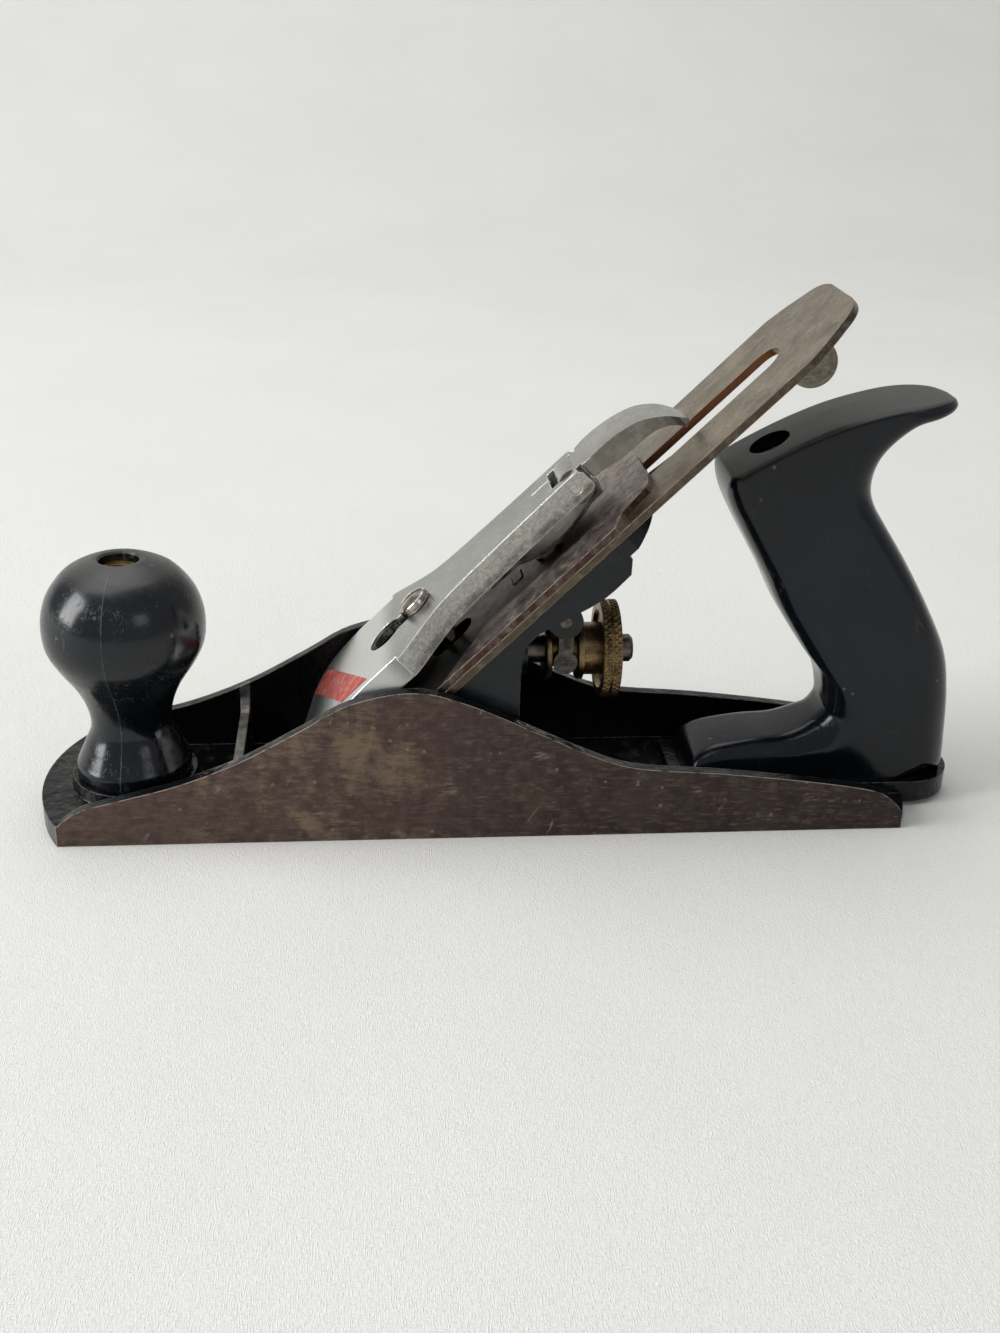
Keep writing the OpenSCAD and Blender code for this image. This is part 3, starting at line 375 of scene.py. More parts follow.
    def finish(self, colour: Socket | Colour, metal: Socket | float, rough: Socket | float,
               height: Socket | None = None, depth: float = 0.05, radius: float = 0.3) -> bpy.types.Material:
        """Joins everything to the shader.

        Args:
            colour: base colour.
            metal: metallic share.
            rough: roughness.
            height: relief from 0 to 1, if there is one.
            depth: depth of that relief, mm.
            radius: how far edges are rounded off in the shading, mm.

        Returns:
            The material.
        """
        for key, value in (("Base Color", colour), ("Metallic", metal), ("Roughness", rough)):
            self.link(value, self.shader.inputs[key])
        normal = self.node("ShaderNodeBevel")
        normal.samples = 6
        normal.inputs[0].default_value = radius * MM
        if height is None:
            self.link(normal.outputs[0], self.shader.inputs["Normal"])
            return self.material
        bump = self.node("ShaderNodeBump")
        bump.inputs["Distance"].default_value = depth * MM
        self.link(height, bump.inputs["Height"])
        self.link(normal.outputs[0], bump.inputs["Normal"])
        self.link(bump.outputs[0], self.shader.inputs["Normal"])
        return self.material


@dataclass(frozen=True)
class MouldedBlack:
    """Glossy black moulding of the knob and tote, scuffed grey and scratched; its bluish tint is painted reflection of
    the sky.

    Attributes:
        name: name of the material.
        specular: specular level.
        dull_above: height in mm above which faces that look up are dull and grey, partly from scuffing and partly as a
            painted sheen from above.
        scuffed: how strong the scratches along the height are.
        line: direction of the turned piece's mould line in degrees and the place of its axis in mm, if it has one.
    """

    name: str
    specular: float
    dull_above: float
    scuffed: float
    line: tuple[float, float] | None = None

    def made(self) -> bpy.types.Material:
        """Builds the material."""
        b = Bench(self.name, self.specular)
        cloud, fine = b.noise(22, 6, 0.6), b.noise(1.6, 5, 0.6)
        upright = b.scratches(2.4, (1, 1, 0.05), (4, 6, 0), 0.009, 0.56)
        slanting = b.scratches(5, (0.12, 1, 1), (0, 52, 20), 0.005, 0.6)
        hair = b.scratches(0.7, (1, 1, 0.08), (0, 12, 0), 0.03, 0.52)
        marks = b.either(b.both(upright, 0.8 * self.scuffed), b.both(slanting, 0.6))
        chips = b.specks(2.6, 0.012)
        # near-black base with a bluish tint: the tint is a painted reflection of the sky in the gloss
        base = b.mix(b.ramp(cloud, 0.35, 0.75), tone(9, 13, 19), tone(17, 21, 26))
        colour = b.mix(b.both(marks, 0.3), base, tone(92, 90, 84))
        colour = b.mix(b.both(chips, 0.45), colour, tone(112, 108, 98))
        rough = b.math("ADD", b.ramp(cloud, 0.3, 0.7, 0.1, 0.2), b.both(marks, 0.3))
        rough = b.math("ADD", rough, b.both(b.ramp(fine, 0.3, 0.8, 0, 1), 0.06))
        rough = b.math("ADD", rough, b.both(hair, 0.12 * self.scuffed))
        parts = b.node("ShaderNodeSeparateXYZ")
        b.link(b.place.node.outputs["Normal"], parts.inputs[0])
        # faces that look up, above dull_above, turn rougher and grey: partly scuffing, partly a painted sheen from
        # above
        top = b.both(b.ramp(b.along((0, 0, 1)), self.dull_above, self.dull_above + 6), b.ramp(parts.outputs[2], 0.45, 0.8))
        rough = b.math("ADD", rough, b.both(top, 0.26))
        colour = b.mix(b.both(top, b.ramp(cloud, 0.25, 0.75, 0.4, 0.95)), colour, tone(84, 84, 80))
        relief = b.math("SUBTRACT", b.ramp(fine, 0.2, 0.8, 0.44, 0.56), b.both(b.either(marks, b.both(hair, 0.5)), 0.4))
        if self.line is not None:
            side = math.radians(self.line[0])
            off = b.along((-math.sin(side), math.cos(side), 0), -math.sin(side) * self.line[1])
            line = b.both(b.near(off, 0, 0.08, 0.14), b.ramp(b.noise(6, 6, 0.7), 0.4, 0.56, 0.25, 1))
            colour = b.mix(b.both(line, 0.38), colour, tone(112, 114, 114))
        return b.finish(colour, 0.0, rough, relief, 0.05)


@dataclass(frozen=True)
class BodyIron:
    """The body's own finish: brown patina on the ground sides, black paint within, bare iron where it is rubbed."""

    name: str = "body_finish"
    side_y: float = 25.9
    pad_x: float = -116.0
    rib: tuple[float, float] = (-73.8, 15.0)
    tail_x: float = 122.0

    def made(self) -> bpy.types.Material:
        """Builds the material from the place on the casting."""
        b = Bench(self.name, 0.26)
        x, y, z = b.along((1, 0, 0)), b.along((0, 1, 0)), b.along((0, 0, 1))
        wide = b.math("ABSOLUTE", y)
        side = b.ramp(wide, self.side_y - 0.12, self.side_y - 0.02)
        sole = b.ramp(z, 0.02, 0.08, 1, 0)
        cloud, fine = b.noise(26, 7, 0.6), b.noise(3.2, 8, 0.68)
        grime = b.noise(9, 8, 0.65, (1, 1, 0.5), (0, 0, 0), 0.6)
        # brown patina with lighter tan patches, strongest in the front third
        rear = b.ramp(b.math("ADD", x, b.both(cloud, 30)), -50, 60)
        grain = b.noise(1.3, 6, 0.75, (0.25, 1, 1))
        patina = b.mix(b.ramp(fine, 0.3, 0.75), b.mix(rear, tone(66, 50, 46), tone(38, 27, 26)), b.mix(rear, tone(92, 74, 67), tone(54, 41, 39)))
        patina = b.mix(b.both(b.ramp(grain, 0.5, 0.68), 0.4), patina, tone(112, 94, 80))
        front = b.either(b.both(b.near(x, -55, 24, 12), 1.0), b.both(b.near(x, -35, 3, 4), 0.9))
        patches = b.math("ADD", b.math("ADD", b.both(cloud, 0.4), b.both(grime, 0.4)), b.both(grain, 0.3))
        tan = b.both(b.ramp(patches, 0.52, 0.64), b.either(front, 0.15))
        patina = b.mix(b.both(tan, 0.75), patina, tone(124, 107, 85))
        patina = b.mix(b.both(b.ramp(b.noise(0.9, 4, 0.7), 0.62, 0.8), 0.5), patina, tone(40, 31, 29))
        flow = b.scratches(1.5, (0.05, 1, 1), (0, 3, 0), 0.02, 0.5)
        cross = b.scratches(4, (1, 1, 0.06), (0, 32, 0), 0.004, 0.6)
        streak = b.scratches(3, (0.04, 1, 1), (0, -8, 0), 0.005, 0.6)
        marks = b.either(b.both(flow, 0.3), cross, streak)
        patina = b.mix(b.both(marks, 0.6), patina, tone(134, 120, 106))
        patina = b.mix(b.both(b.specks(2.2, 0.05), 0.5), patina, tone(140, 126, 112))
        rim = b.both(b.worn(0.35, 0.02, 0.1), b.ramp(b.noise(4, 7, 0.7), 0.38, 0.5))
        patina = b.mix(b.both(rim, 0.9), patina, tone(208, 201, 190))
        # black paint, lumpy, with bare edges
        lumps = b.noise(3.5, 3, 0.5)
        paint = b.mix(b.ramp(cloud, 0.4, 0.8), tone(7, 9, 10), tone(18, 20, 21))
        dust = b.both(b.ramp(z, 5.5, 4.2), b.ramp(b.noise(6, 6, 0.7), 0.5, 0.75))
        paint = b.mix(b.both(dust, 0.35), paint, tone(92, 86, 76))
        bare = b.mix(b.ramp(fine, 0.3, 0.7), tone(92, 90, 88), tone(140, 136, 130))
        edges = b.both(b.worn(0.35, 0.02, 0.1), b.ramp(b.noise(3, 6, 0.7), 0.42, 0.52))
        tail = b.both(b.ramp(x, self.tail_x, self.tail_x + 2.5), b.ramp(wide, 22.5, 23), b.ramp(b.noise(3, 5), 0.3, 0.5, 0.4, 1))
        rib = b.both(b.near(x, self.rib[0], 1.4, 0.1), b.ramp(z, self.rib[1], self.rib[1] + 0.6), b.ramp(wide, 25, 22.5))
        toe = b.both(b.ramp(x, self.pad_x + 3, self.pad_x), b.ramp(z, 5.6, 6.0), b.ramp(b.noise(5, 6, 0.65), 0.5, 0.58))
        nose = b.both(b.ramp(x, -118.5, -120.5), b.ramp(z, 6.0, 5.6))
        rubbed = b.either(b.both(edges, 0.75), rib, b.both(toe, 0.12), b.both(nose, 0.2), b.both(tail, 0.75))
        inner = b.mix(rubbed, paint, bare)
        ground = b.mix(b.ramp(fine, 0.3, 0.7), tone(104, 100, 96), tone(136, 131, 125))
        colour = b.mix(sole, b.mix(side, inner, patina), ground)
        metal = b.either(b.both(side, 0.12), b.both(b.math("SUBTRACT", 1.0, side), rubbed, 0.8), b.both(sole, 0.9))
        paint_rough = b.mix_value(rubbed, b.ramp(cloud, 0.3, 0.8, 0.12, 0.35), 0.42)
        side_rough = b.math("SUBTRACT", b.ramp(fine, 0.2, 0.8, 0.40, 0.62), b.both(marks, 0.12))
        rough = b.mix_value(b.either(side, sole), paint_rough, side_rough)
        relief = b.mix_value(side, b.ramp(lumps, 0.2, 0.8, 0, 1), b.math("SUBTRACT", b.ramp(fine, 0.2, 0.8, 0.45, 0.55), b.both(marks, 0.12)))
        return b.finish(colour, metal, rough, relief, 0.2, 0.45)


@dataclass(frozen=True)
class BlackPaint:
    """Gloss black paint on a casting, with bare rubbed edges and dust."""

    name: str = "frog_paint"

    def made(self) -> bpy.types.Material:
        """Builds the material."""
        b = Bench(self.name, 0.35)
        cloud, lumps = b.noise(18, 5, 0.6), b.noise(2.2, 4, 0.55)
        bare = b.both(b.worn(0.5, 0.04, 0.3), b.ramp(b.noise(2, 5, 0.7), 0.45, 0.62))
        # near-black with a bluish tint: the tint is a painted reflection of the sky in the gloss
        colour = b.mix(b.ramp(cloud, 0.35, 0.8), tone(9, 13, 17), tone(24, 29, 33))
        colour = b.mix(b.both(b.ramp(b.noise(4, 6, 0.7), 0.55, 0.8), 0.25), colour, tone(88, 80, 70))
        colour = b.mix(b.both(bare, 0.8), colour, tone(118, 112, 106))
        rough = b.mix_value(bare, b.ramp(cloud, 0.3, 0.8, 0.2, 0.4), 0.45)
        return b.finish(colour, b.both(bare, 0.8), rough, b.ramp(lumps, 0.2, 0.8, 0.3, 0.7), 0.12, 0.4)


class Wear(Enum):
    """How far a bare metal has gone."""

    CLEAN = 0.1
    STAINED = 0.45
    RUSTY = 0.8


@dataclass(frozen=True)
class BareMetal:
    """A bare or plated metal with stains, rust at its edges and fine scratches along one direction."""

    name: str
    light: Colour
    dark: Colour
    rust: Colour = (0.09, 0.035, 0.015)
    wear: Wear = Wear.STAINED
    rough: tuple[float, float] = (0.28, 0.45)
    grain: float = 0.03
    lines: tuple[float, float, float] = (0.1, 1, 1)
    turn: tuple[float, float, float] = (0, 0, 0)
    blotch: float = 9
    walls: Colour | None = None
    painted_shade_under_cap: Colour | None = None
    slot: Colour | None = None

    def made(self) -> bpy.types.Material:
        """Builds the material."""
        b = Bench(self.name)
        cloud, fine = b.noise(self.blotch, 7, 0.62), b.noise(1.1, 6, 0.65)
        marks = b.scratches(2.2, self.lines, self.turn, 0.02, 0.45)
        edge = b.worn(0.6, 0.02, 0.2)
        patch = b.ramp(b.math("ADD", b.both(b.noise(4.5, 7, 0.7), 0.7), b.both(edge, 0.22)), 0.62 - 0.2 * self.wear.value, 0.78)
        colour = b.mix(b.ramp(b.math("ADD", b.both(cloud, 0.7), b.both(fine, 0.3)), 0.35, 0.68), self.dark, self.light)
        colour = b.mix(b.both(marks, 0.22), colour, tuple(min(1.0, 1.35 * c) for c in self.light))
        colour = b.mix(b.both(patch, self.wear.value), colour, self.rust)
        colour = b.mix(b.both(b.specks(1.3, 0.08), 0.6 * self.wear.value), colour, self.rust)
        # faces that look across take the walls colour: partly the edges' own darker rust-brown, partly painted shade on
        # the side faces
        if self.walls is not None:
            colour = b.mix(b.both(b.flank(), b.ramp(b.noise(3, 5, 0.6), 0.3, 0.6, 0.6, 1)), colour, self.walls)
        # sharp edges lighter: partly wear, partly a painted highlight along the arris
        bright = tuple(min(1.0, 1.25 * c) for c in self.light)
        colour = b.mix(b.both(b.worn(0.45, 0.03, 0.14), b.ramp(b.noise(3, 6, 0.7), 0.4, 0.55), 0.7), colour, bright)
        # painted shade: the cap iron is darkened in a band beneath the lever cap's walls, where the cap's shadow falls
        if self.painted_shade_under_cap is not None:
            slope = 1 / math.sqrt(2)
            u = b.along((slope, 0, slope), MOUTH_X * slope)
            reach = b.math("ADD", UNDER_CAP, b.both(b.math("MAXIMUM", b.math("SUBTRACT", 75.0, u), 0.0), 0.62))
            shade_gap = b.ramp(b.math("SUBTRACT", b.math("ABSOLUTE", b.along((0, 1, 0))), reach), -0.6, 0.9, 1, 0)
            colour = b.mix(b.both(shade_gap, b.ramp(u, 116, 108), 0.92), colour, self.painted_shade_under_cap)
        if self.slot is not None:
            inside = b.both(b.flank(), b.ramp(b.math("ABSOLUTE", b.along((0, 1, 0))), 7, 8, 1, 0))
            colour = b.mix(b.both(inside, 0.85), colour, self.slot)
        rough = b.math("ADD", b.ramp(cloud, 0.3, 0.75, self.rough[0], self.rough[1]), b.both(patch, 0.3 * self.wear.value))
        rough = b.math("SUBTRACT", rough, b.both(marks, 0.06))
        metal = b.math("SUBTRACT", 1.0, b.both(patch, 0.85 * self.wear.value))
        relief = b.math("ADD", b.ramp(fine, 0.2, 0.8, 0.3, 0.6), b.both(marks, 0.1))
        return b.finish(colour, metal, rough, relief, self.grain, 0.3)


@dataclass(frozen=True)
class PlatedCap:
    """Dull nickel of the lever cap: polished nose, granular sides, brown round the screw, painted shade in the keyhole
    and a painted highlight along the arris.
    """

    name: str = "plated_cap"
    polished_to: float = 54.5
    top: float = 17.6

    def made(self) -> bpy.types.Material:
        """Builds the material from the place along the bed."""
        b = Bench(self.name)
        slope = 1 / math.sqrt(2)
        u = b.along((slope, 0, slope), MOUTH_X * slope)
        h = b.along((-slope, 0, slope), -MOUTH_X * slope)
        wide = b.math("ABSOLUTE", b.along((0, 1, 0)))
        wall = b.both(b.flank(), b.ramp(u, self.polished_to - 1, self.polished_to + 2))
        fine, cloud = b.noise(0.8, 5, 0.65), b.noise(16, 4, 0.5)
        colour = b.mix(b.ramp(cloud, 0.3, 0.7), tone(148, 148, 144), tone(170, 170, 166))
        long_grain = b.noise(0.7, 5, 0.7, (0.5, 1, 1), (0, -45, 0))
        colour = b.mix(wall, colour, b.mix(b.ramp(long_grain, 0.36, 0.64), tone(168, 165, 158), tone(202, 199, 192)))
        low = b.both(wall, b.ramp(h, self.top - 3.6, self.top - 5.6), b.ramp(b.noise(5, 5, 0.6), 0.3, 0.6))
        colour = b.mix(b.both(low, 0.6), colour, tone(64, 58, 50))
        round_screw = b.both(b.near(u, 60, 7, 4), b.ramp(wide, 10, 5))
        stain = b.both(b.ramp(b.noise(3, 7, 0.7), 0.56, 0.74), b.either(round_screw, 0.25))
        colour = b.mix(b.both(stain, 0.65), colour, tone(98, 74, 54))
        colour = b.mix(b.both(b.ramp(u, 55, 48), 0.85), colour, tone(226, 226, 223))
        # painted shade: the keyhole's walls below the top are near black and not metallic, as shade inside the hole
        hole = b.both(b.ramp(h, self.top - 0.7, self.top - 1.2), b.near(u, 56, 13, 1), b.ramp(wide, 8, 7.6))
        colour = b.mix(b.both(hole, 0.97), colour, tone(24, 21, 18))
        marks = b.either(b.scratches(1.2, (1, 0.06, 1), (0, -45, 25), 0.02, 0.5), b.scratches(2.5, (0.06, 1, 0.1), (0, 0, 12), 0.012, 0.6))
        colour = b.mix(b.both(marks, 0.3), colour, tone(208, 207, 202))
        # painted highlight: a near-white line along the sharp edges, kept out of the keyhole
        arris = b.both(b.worn(0.7, 0.02, 0.1), b.math("SUBTRACT", 1.0, hole))
        colour = b.mix(b.both(arris, 0.95), colour, tone(248, 248, 246))
        rough = b.mix_value(wall, b.ramp(cloud, 0.3, 0.75, 0.2, 0.32), b.ramp(fine, 0.3, 0.75, 0.34, 0.5))
        rough = b.mix_value(b.both(b.ramp(u, 55, 48), 0.8), rough, 0.34)
        rough = b.mix_value(hole, rough, 0.85)
        metal = b.math("SUBTRACT", 1.0, b.either(b.both(stain, 0.6), hole))
        pits = b.mix_value(wall, b.ramp(b.noise(0.5, 3, 0.6), 0.2, 0.4, 0.6, 0.7), b.ramp(fine, 0.25, 0.75))
        return b.finish(colour, metal, rough, b.math("SUBTRACT", pits, b.both(marks, 0.1)), 0.09, 0.6)


@dataclass(frozen=True)
class BareLabel:
    """A worn red sticker with no words: paler rubbed patches and darker dirty blotches."""

    name: str = "bare_label"

    def made(self) -> bpy.types.Material:
        """Builds the material."""
        b = Bench(self.name)
        worn = b.ramp(b.math("ADD", b.both(b.noise(2.6, 6, 0.7), 0.7), b.both(b.noise(0.8, 4, 0.6), 0.3)), 0.46, 0.6)
        colour = b.mix(b.both(worn, 0.55), tone(168, 52, 44), tone(196, 146, 134))
        colour = b.mix(b.ramp(b.noise(1.3, 5, 0.7), 0.6, 0.72), colour, tone(110, 60, 54))
        return b.finish(colour, 0.0, b.ramp(b.noise(2, 4), 0.3, 0.7, 0.35, 0.6), worn, 0.02, 0.1)


def dress(node: str, finish: bpy.types.Material) -> None:
    """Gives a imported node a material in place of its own."""
    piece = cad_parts[node]
    if not piece.data.materials:
        piece.data.materials.append(finish)
    for place in piece.material_slots:
        place.material = finish
    log.info("%s wears %s", node, finish.name)


def fitted(piece: bpy.types.Object, finish: bpy.types.Material, body: str, slot: str, *nodes: str) -> bpy.types.Object:
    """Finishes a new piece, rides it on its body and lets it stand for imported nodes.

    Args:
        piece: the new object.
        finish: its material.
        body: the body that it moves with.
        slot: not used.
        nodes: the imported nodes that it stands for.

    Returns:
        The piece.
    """
    piece.data.materials.clear()
    piece.data.materials.append(finish)
    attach(piece, body)
    if nodes:
        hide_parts(*nodes)
    log.info("%s rides on %s, %d faces", piece.name, body, len(piece.data.polygons))
    return piece


@dataclass
class Knob:
    """The front knob, turned, with the mould line down both sides."""

    axis_x: float = -102.6
    foot_z: float = 9.4
    height: float = 61.6
    hole_r: float = 5.2
    hole_depth: float = 5.2
    line_r: float = 0.1
    line_at: float = 263.0
    side: tuple[tuple[float, float], ...] = (
        (15.0, 0.0), (15.4, 0.02), (15.4, 0.055), (14.6, 0.085), (12.9, 0.145), (10.8, 0.23), (11.5, 0.33), (14.1, 0.43),
        (18.1, 0.53), (20.8, 0.62), (21.3, 0.72), (20.4, 0.8), (18.4, 0.87), (14.7, 0.94), (10.3, 0.98), (6.8, 1.0))

    def build(self) -> bpy.types.Object:
        """Turns the knob.

        The outer profile is a smooth line through the radii in side; its radius grows by a narrow bell over the angle
        at each mould line. The hole and the hollow foot close the shape.

        Returns:
            The knob.
        """
        outer = smooth_line([list(p) for p in self.side], 8) * np.array([1, self.height])
        lip = [[self.hole_r + 0.5, self.height - 0.15], [self.hole_r, self.height - 0.7]]
        inner = [[self.hole_r, self.height - self.hole_depth], [3.2, self.height - self.hole_depth], [3.2, 0.0]]
        profile = np.vstack([outer, lip, inner, outer[:1]])
        angle = np.linspace(0, 2 * math.pi, 240, endpoint=False)
        off = np.abs(np.angle(np.exp(1j * (2 * (angle - math.radians(self.line_at)))))) / 2
        share = np.zeros(len(profile))
        share[: len(outer)] = 1
        ripple = share[:, None] * self.line_r * np.exp(-((off[None, :] * 21 / 0.35) ** 2))
        grid, faces = turned(profile, 240, ripple)
        grid = grid + np.array([self.axis_x, 0, self.foot_z])
        return solid("knob_form", [(grid, faces)])


@dataclass
class Tote:
    """The rear handle: a rounded outline carried across the hand."""

    tail_x: float = 127.5
    seat_z: float = 7.7
    height: float = 107.7
    width: float = 25.0
    round_off: float = 9.0
    lean: float = 24.7
    hole: tuple[float, float] = (66.5, 102.5)
    horn: tuple[float, float] = (-31.0, 17.9)
    front: tuple[tuple[float, float, float], ...] = (
        (-77.1, 0.021, 0.2), (-75.5, 0.062, 0.5), (-70.5, 0.09, 0.8), (-60, 0.108, 1), (-50.5, 0.116, 1),
        (-43, 0.146, 1), (-40, 0.173, 1), (-39.3, 0.206, 1), (-41.4, 0.28, 1), (-47, 0.351, 1), (-55, 0.464, 1),
        (-60.4, 0.558, 1), (-68, 0.678, 1), (-72.2, 0.757, 0.8), (-72.6, 0.81, 0.4), (-69.5, 0.832, 0.22),
        (-62.3, 0.871, 0.2), (-53.5, 0.913, 0.2), (-43.5, 0.952, 0.2), (-33, 0.98, 0.2), (-24, 0.995, 0.15),
        (-17.4, 0.999, 0.08), (-13.8, 0.994, 0.04))
    back: tuple[tuple[float, float, float], ...] = (
        (-77.1, 0, 0), (-72, 0, 0), (-66, 0, 0), (-57, 0, 0), (-47, 0, 0), (-36, 0, 0), (-20, 0, 0), (-5, 0, 1.3),
        (-2, 0, 1.38), (-2.2, 0.103, 1.38), (-3.9, 0.231, 1.2), (-7, 0.344, 1.05), (-13.4, 0.46, 1),
        (-21.3, 0.581, 1), (-28.2, 0.675, 1), (-32.4, 0.735, 1), (-33.9, 0.784, 1), (-33.4, 0.843, 0.8),
        (-30.5, 0.894, 0.6), (-25, 0.941, 0.45), (-19.5, 0.959, 0.3), (-15.2, 0.971, 0.2), (-12.9, 0.981, 0.12))

    def build(self) -> bpy.types.Object:
        """Builds the handle from sections, each a rounded rectangle from a point of the front to one of the back.

        Along a section the distance from the front is s and across it y. A corner of radius r turns from
        (s, y) = (0, half - r) to (r, half) as (r(1 - cos a), half - r(1 - sin a)). The half width shrinks along the
        horn by sqrt(1 - t^2), which rounds its tip seen from above.

        Returns:
            The handle, with its hole.
        """
        front, back = (smooth_line([list(p) for p in side], 7) for side in (self.front, self.back))
        start, end = (np.stack([self.tail_x + p[:, 0], self.seat_z + np.maximum(p[:, 1], 0) * self.height], 1)
                      for p in (front, back))
        span = end - start
        depth = np.linalg.norm(span, axis=1)[:, None]
        horn = np.clip((front[:, :1] - self.horn[0]) / self.horn[1], 0, 0.985)
        half = self.width / 2 * np.sqrt(1 - horn**2)
        near, far = (np.minimum(np.minimum(np.maximum(self.round_off * p[:, 2:], 0.05), 0.47 * depth), half)
                     for p in (front, back))
        turn = np.radians(np.linspace(0, 90, 10))[None, :]
        level = np.linspace(0, 1, 10)[None, 1:-1]
        s = np.hstack([0 * depth, near * (1 - np.cos(turn)), near + (depth - near - far) * level,
                       depth - far * (1 - np.sin(turn)), depth])
        y = np.hstack([0 * depth, half - near * (1 - np.sin(turn)), half + 0 * level,
                       half - far * (1 - np.cos(turn)), 0 * depth])
        s, y = np.hstack([s, s[:, -2:0:-1]]), np.hstack([y, -y[:, -2:0:-1]])
        flat = start[:, None] + (span / depth)[:, None] * s[..., None]
        grid = np.stack([flat[..., 0], y, flat[..., 1]], -1)
        cols = grid.shape[1]
        toe, tip = np.arange(cols)[None, :], np.arange(cols)[None, ::-1] + (len(grid) - 1) * cols
        piece = solid("tote_form", [(grid, skin(grid, round_cols=True)), (grid, toe), (grid, tip)], 40)
        profile = np.array([[0, 30], [5.6, 30], [5.6, -6.5], [4.2, -6.5], [4.2, -27], [3.2, -27], [3.2, -130], [0, -130]], float)
        hole, faces = turned(profile, 64)
        lean = math.radians(self.lean)
        spin = np.array([[math.cos(lean), 0, -math.sin(lean)], [0, 1, 0], [math.sin(lean), 0, math.cos(lean)]])
        cut_away(piece, hole @ spin.T + np.array([self.hole[0], 0, self.hole[1]]), faces, 40)
        return piece


@dataclass
class ClampScrew:
    """The domed, slotted screw that the lever cap hooks under."""

    at_u: float = 63.1
    face_h: float = 17.75
    head_r: float = 4.7
    head_t: float = 3.4
    dome_r: float = 9.0
    shank_r: float = 3.1
    foot_h: float = -8.2
    slot_w: float = 1.3
    slot_d: float = 1.5

    def build(self) -> bpy.types.Object:
        """Turns the screw: the dome drops by R - sqrt(R^2 - r^2), and a box cuts the slot.

        Returns:
            The screw.
        """
        r = np.linspace(0, self.head_r - 0.35, 12)
        dome = np.stack([r, self.head_t - self.dome_r + np.sqrt(self.dome_r**2 - r**2)], 1)
        side = [[self.head_r - 0.1, dome[-1, 1] - 0.2], [self.head_r, dome[-1, 1] - 0.5], [self.head_r, 0.3], [self.head_r - 0.3, 0],
                [self.shank_r, 0], [self.shank_r, self.foot_h - self.face_h], [0, self.foot_h - self.face_h]]
        grid, faces = turned(np.vstack([dome, side]), 72)
        piece = solid("lever_cap_screw_form", [(self.placed(grid), faces)], 40)
        low = self.head_t - self.slot_d
        corner = np.array([[x, y, z] for z in (low, low + 4) for x, y in ((-6, -1), (6, -1), (6, 1), (-6, 1))], float)
        corner[:, 1] *= self.slot_w / 2
        box = np.array([[0, 1, 2, 3], [4, 5, 6, 7], [0, 1, 5, 4], [1, 2, 6, 5], [2, 3, 7, 6], [3, 0, 4, 7]])
        cut_away(piece, self.placed(corner), box, 40)
        return piece

    def placed(self, points: np.ndarray) -> np.ndarray:
        """Points round the screw's axis, put on the bed."""
        return on_bed(self.at_u + points[..., 0], points[..., 1], self.face_h + points[..., 2])


@dataclass
class Wheel:
    """The depth wheel, turned in brass, with two diamond knurled bands and the grooved hub."""

    centre: tuple[float, float] = (26.8, 43.9)
    rim_r: float = 13.4
    half_w: float = 2.5
    bore_r: float = 3.86
    hub_r: float = 8.4
    groove_r: float = 5.0
    groove_at: float = -12.2
    groove_w: float = 7.0
    flange_t: float = 1.7
    diamonds: int = 46
    knurl: float = 0.42

    def build(self) -> bpy.types.Object:
        """Turns the wheel.

        On the rim the radius drops by a depth times the smaller of two slanting waves, |sin(n a/2 + k w)| and
        |sin(n a/2 - k w)|, which leaves diamonds; a plain line in the middle has none.

        Returns:
            The wheel.
        """
        w = np.linspace(-self.half_w, self.half_w, 61)
        rim = np.stack([np.full_like(w, self.rim_r), w], 1)
        rim[0, 0] = rim[-1, 0] = self.rim_r - 0.5
        low, high = self.groove_at - self.groove_w / 2, self.groove_at + self.groove_w / 2
        inner = [[self.rim_r - 2.6, self.half_w], [self.rim_r - 3.4, self.half_w - 1.0], [self.bore_r + 0.5, self.half_w - 1.0],
                 [self.bore_r, self.half_w - 1.4]]
        outer = [[self.bore_r, low - self.flange_t], [self.hub_r - 0.3, low - self.flange_t], [self.hub_r, low - self.flange_t + 0.3],
                 [self.hub_r, low - 0.3], [self.hub_r - 0.3, low], [self.groove_r, low], [self.groove_r, high],
                 [self.hub_r - 0.3, high], [self.hub_r, high + 0.3], [self.hub_r, high + self.flange_t],
                 [self.hub_r - 1.2, high + self.flange_t], [self.hub_r - 1.2, -self.half_w + 1.2],
                 [self.rim_r - 3.4, -self.half_w + 1.2], [self.rim_r - 2.6, -self.half_w]]
        profile = np.vstack([rim, inner, outer, rim[:1]])
        steps = 12 * self.diamonds
        angle = np.linspace(0, 2 * math.pi, steps, endpoint=False)[None, :]
        slant = math.pi / 1.8
        wave = np.minimum(np.abs(np.sin(self.diamonds * angle / 2 + slant * w[:, None])),
                          np.abs(np.sin(self.diamonds * angle / 2 - slant * w[:, None])))
        band = ((np.abs(w) > 0.35) & (np.abs(w) < self.half_w - 0.3)).astype(float)[:, None]
        ripple = np.zeros((len(profile), steps))
        ripple[: len(w)] = -self.knurl * (1 - np.clip(wave * 1.4, 0, 1)) * band
        ripple[: len(w)] -= 0.35 * (np.abs(w) < 0.3)[:, None]
        grid, faces = turned(profile, steps, ripple)
        along_x = np.stack([grid[..., 2] + self.centre[0], grid[..., 0], grid[..., 1] + self.centre[1]], -1)
        return solid("depth_wheel_form", [(along_x, faces)], 50)


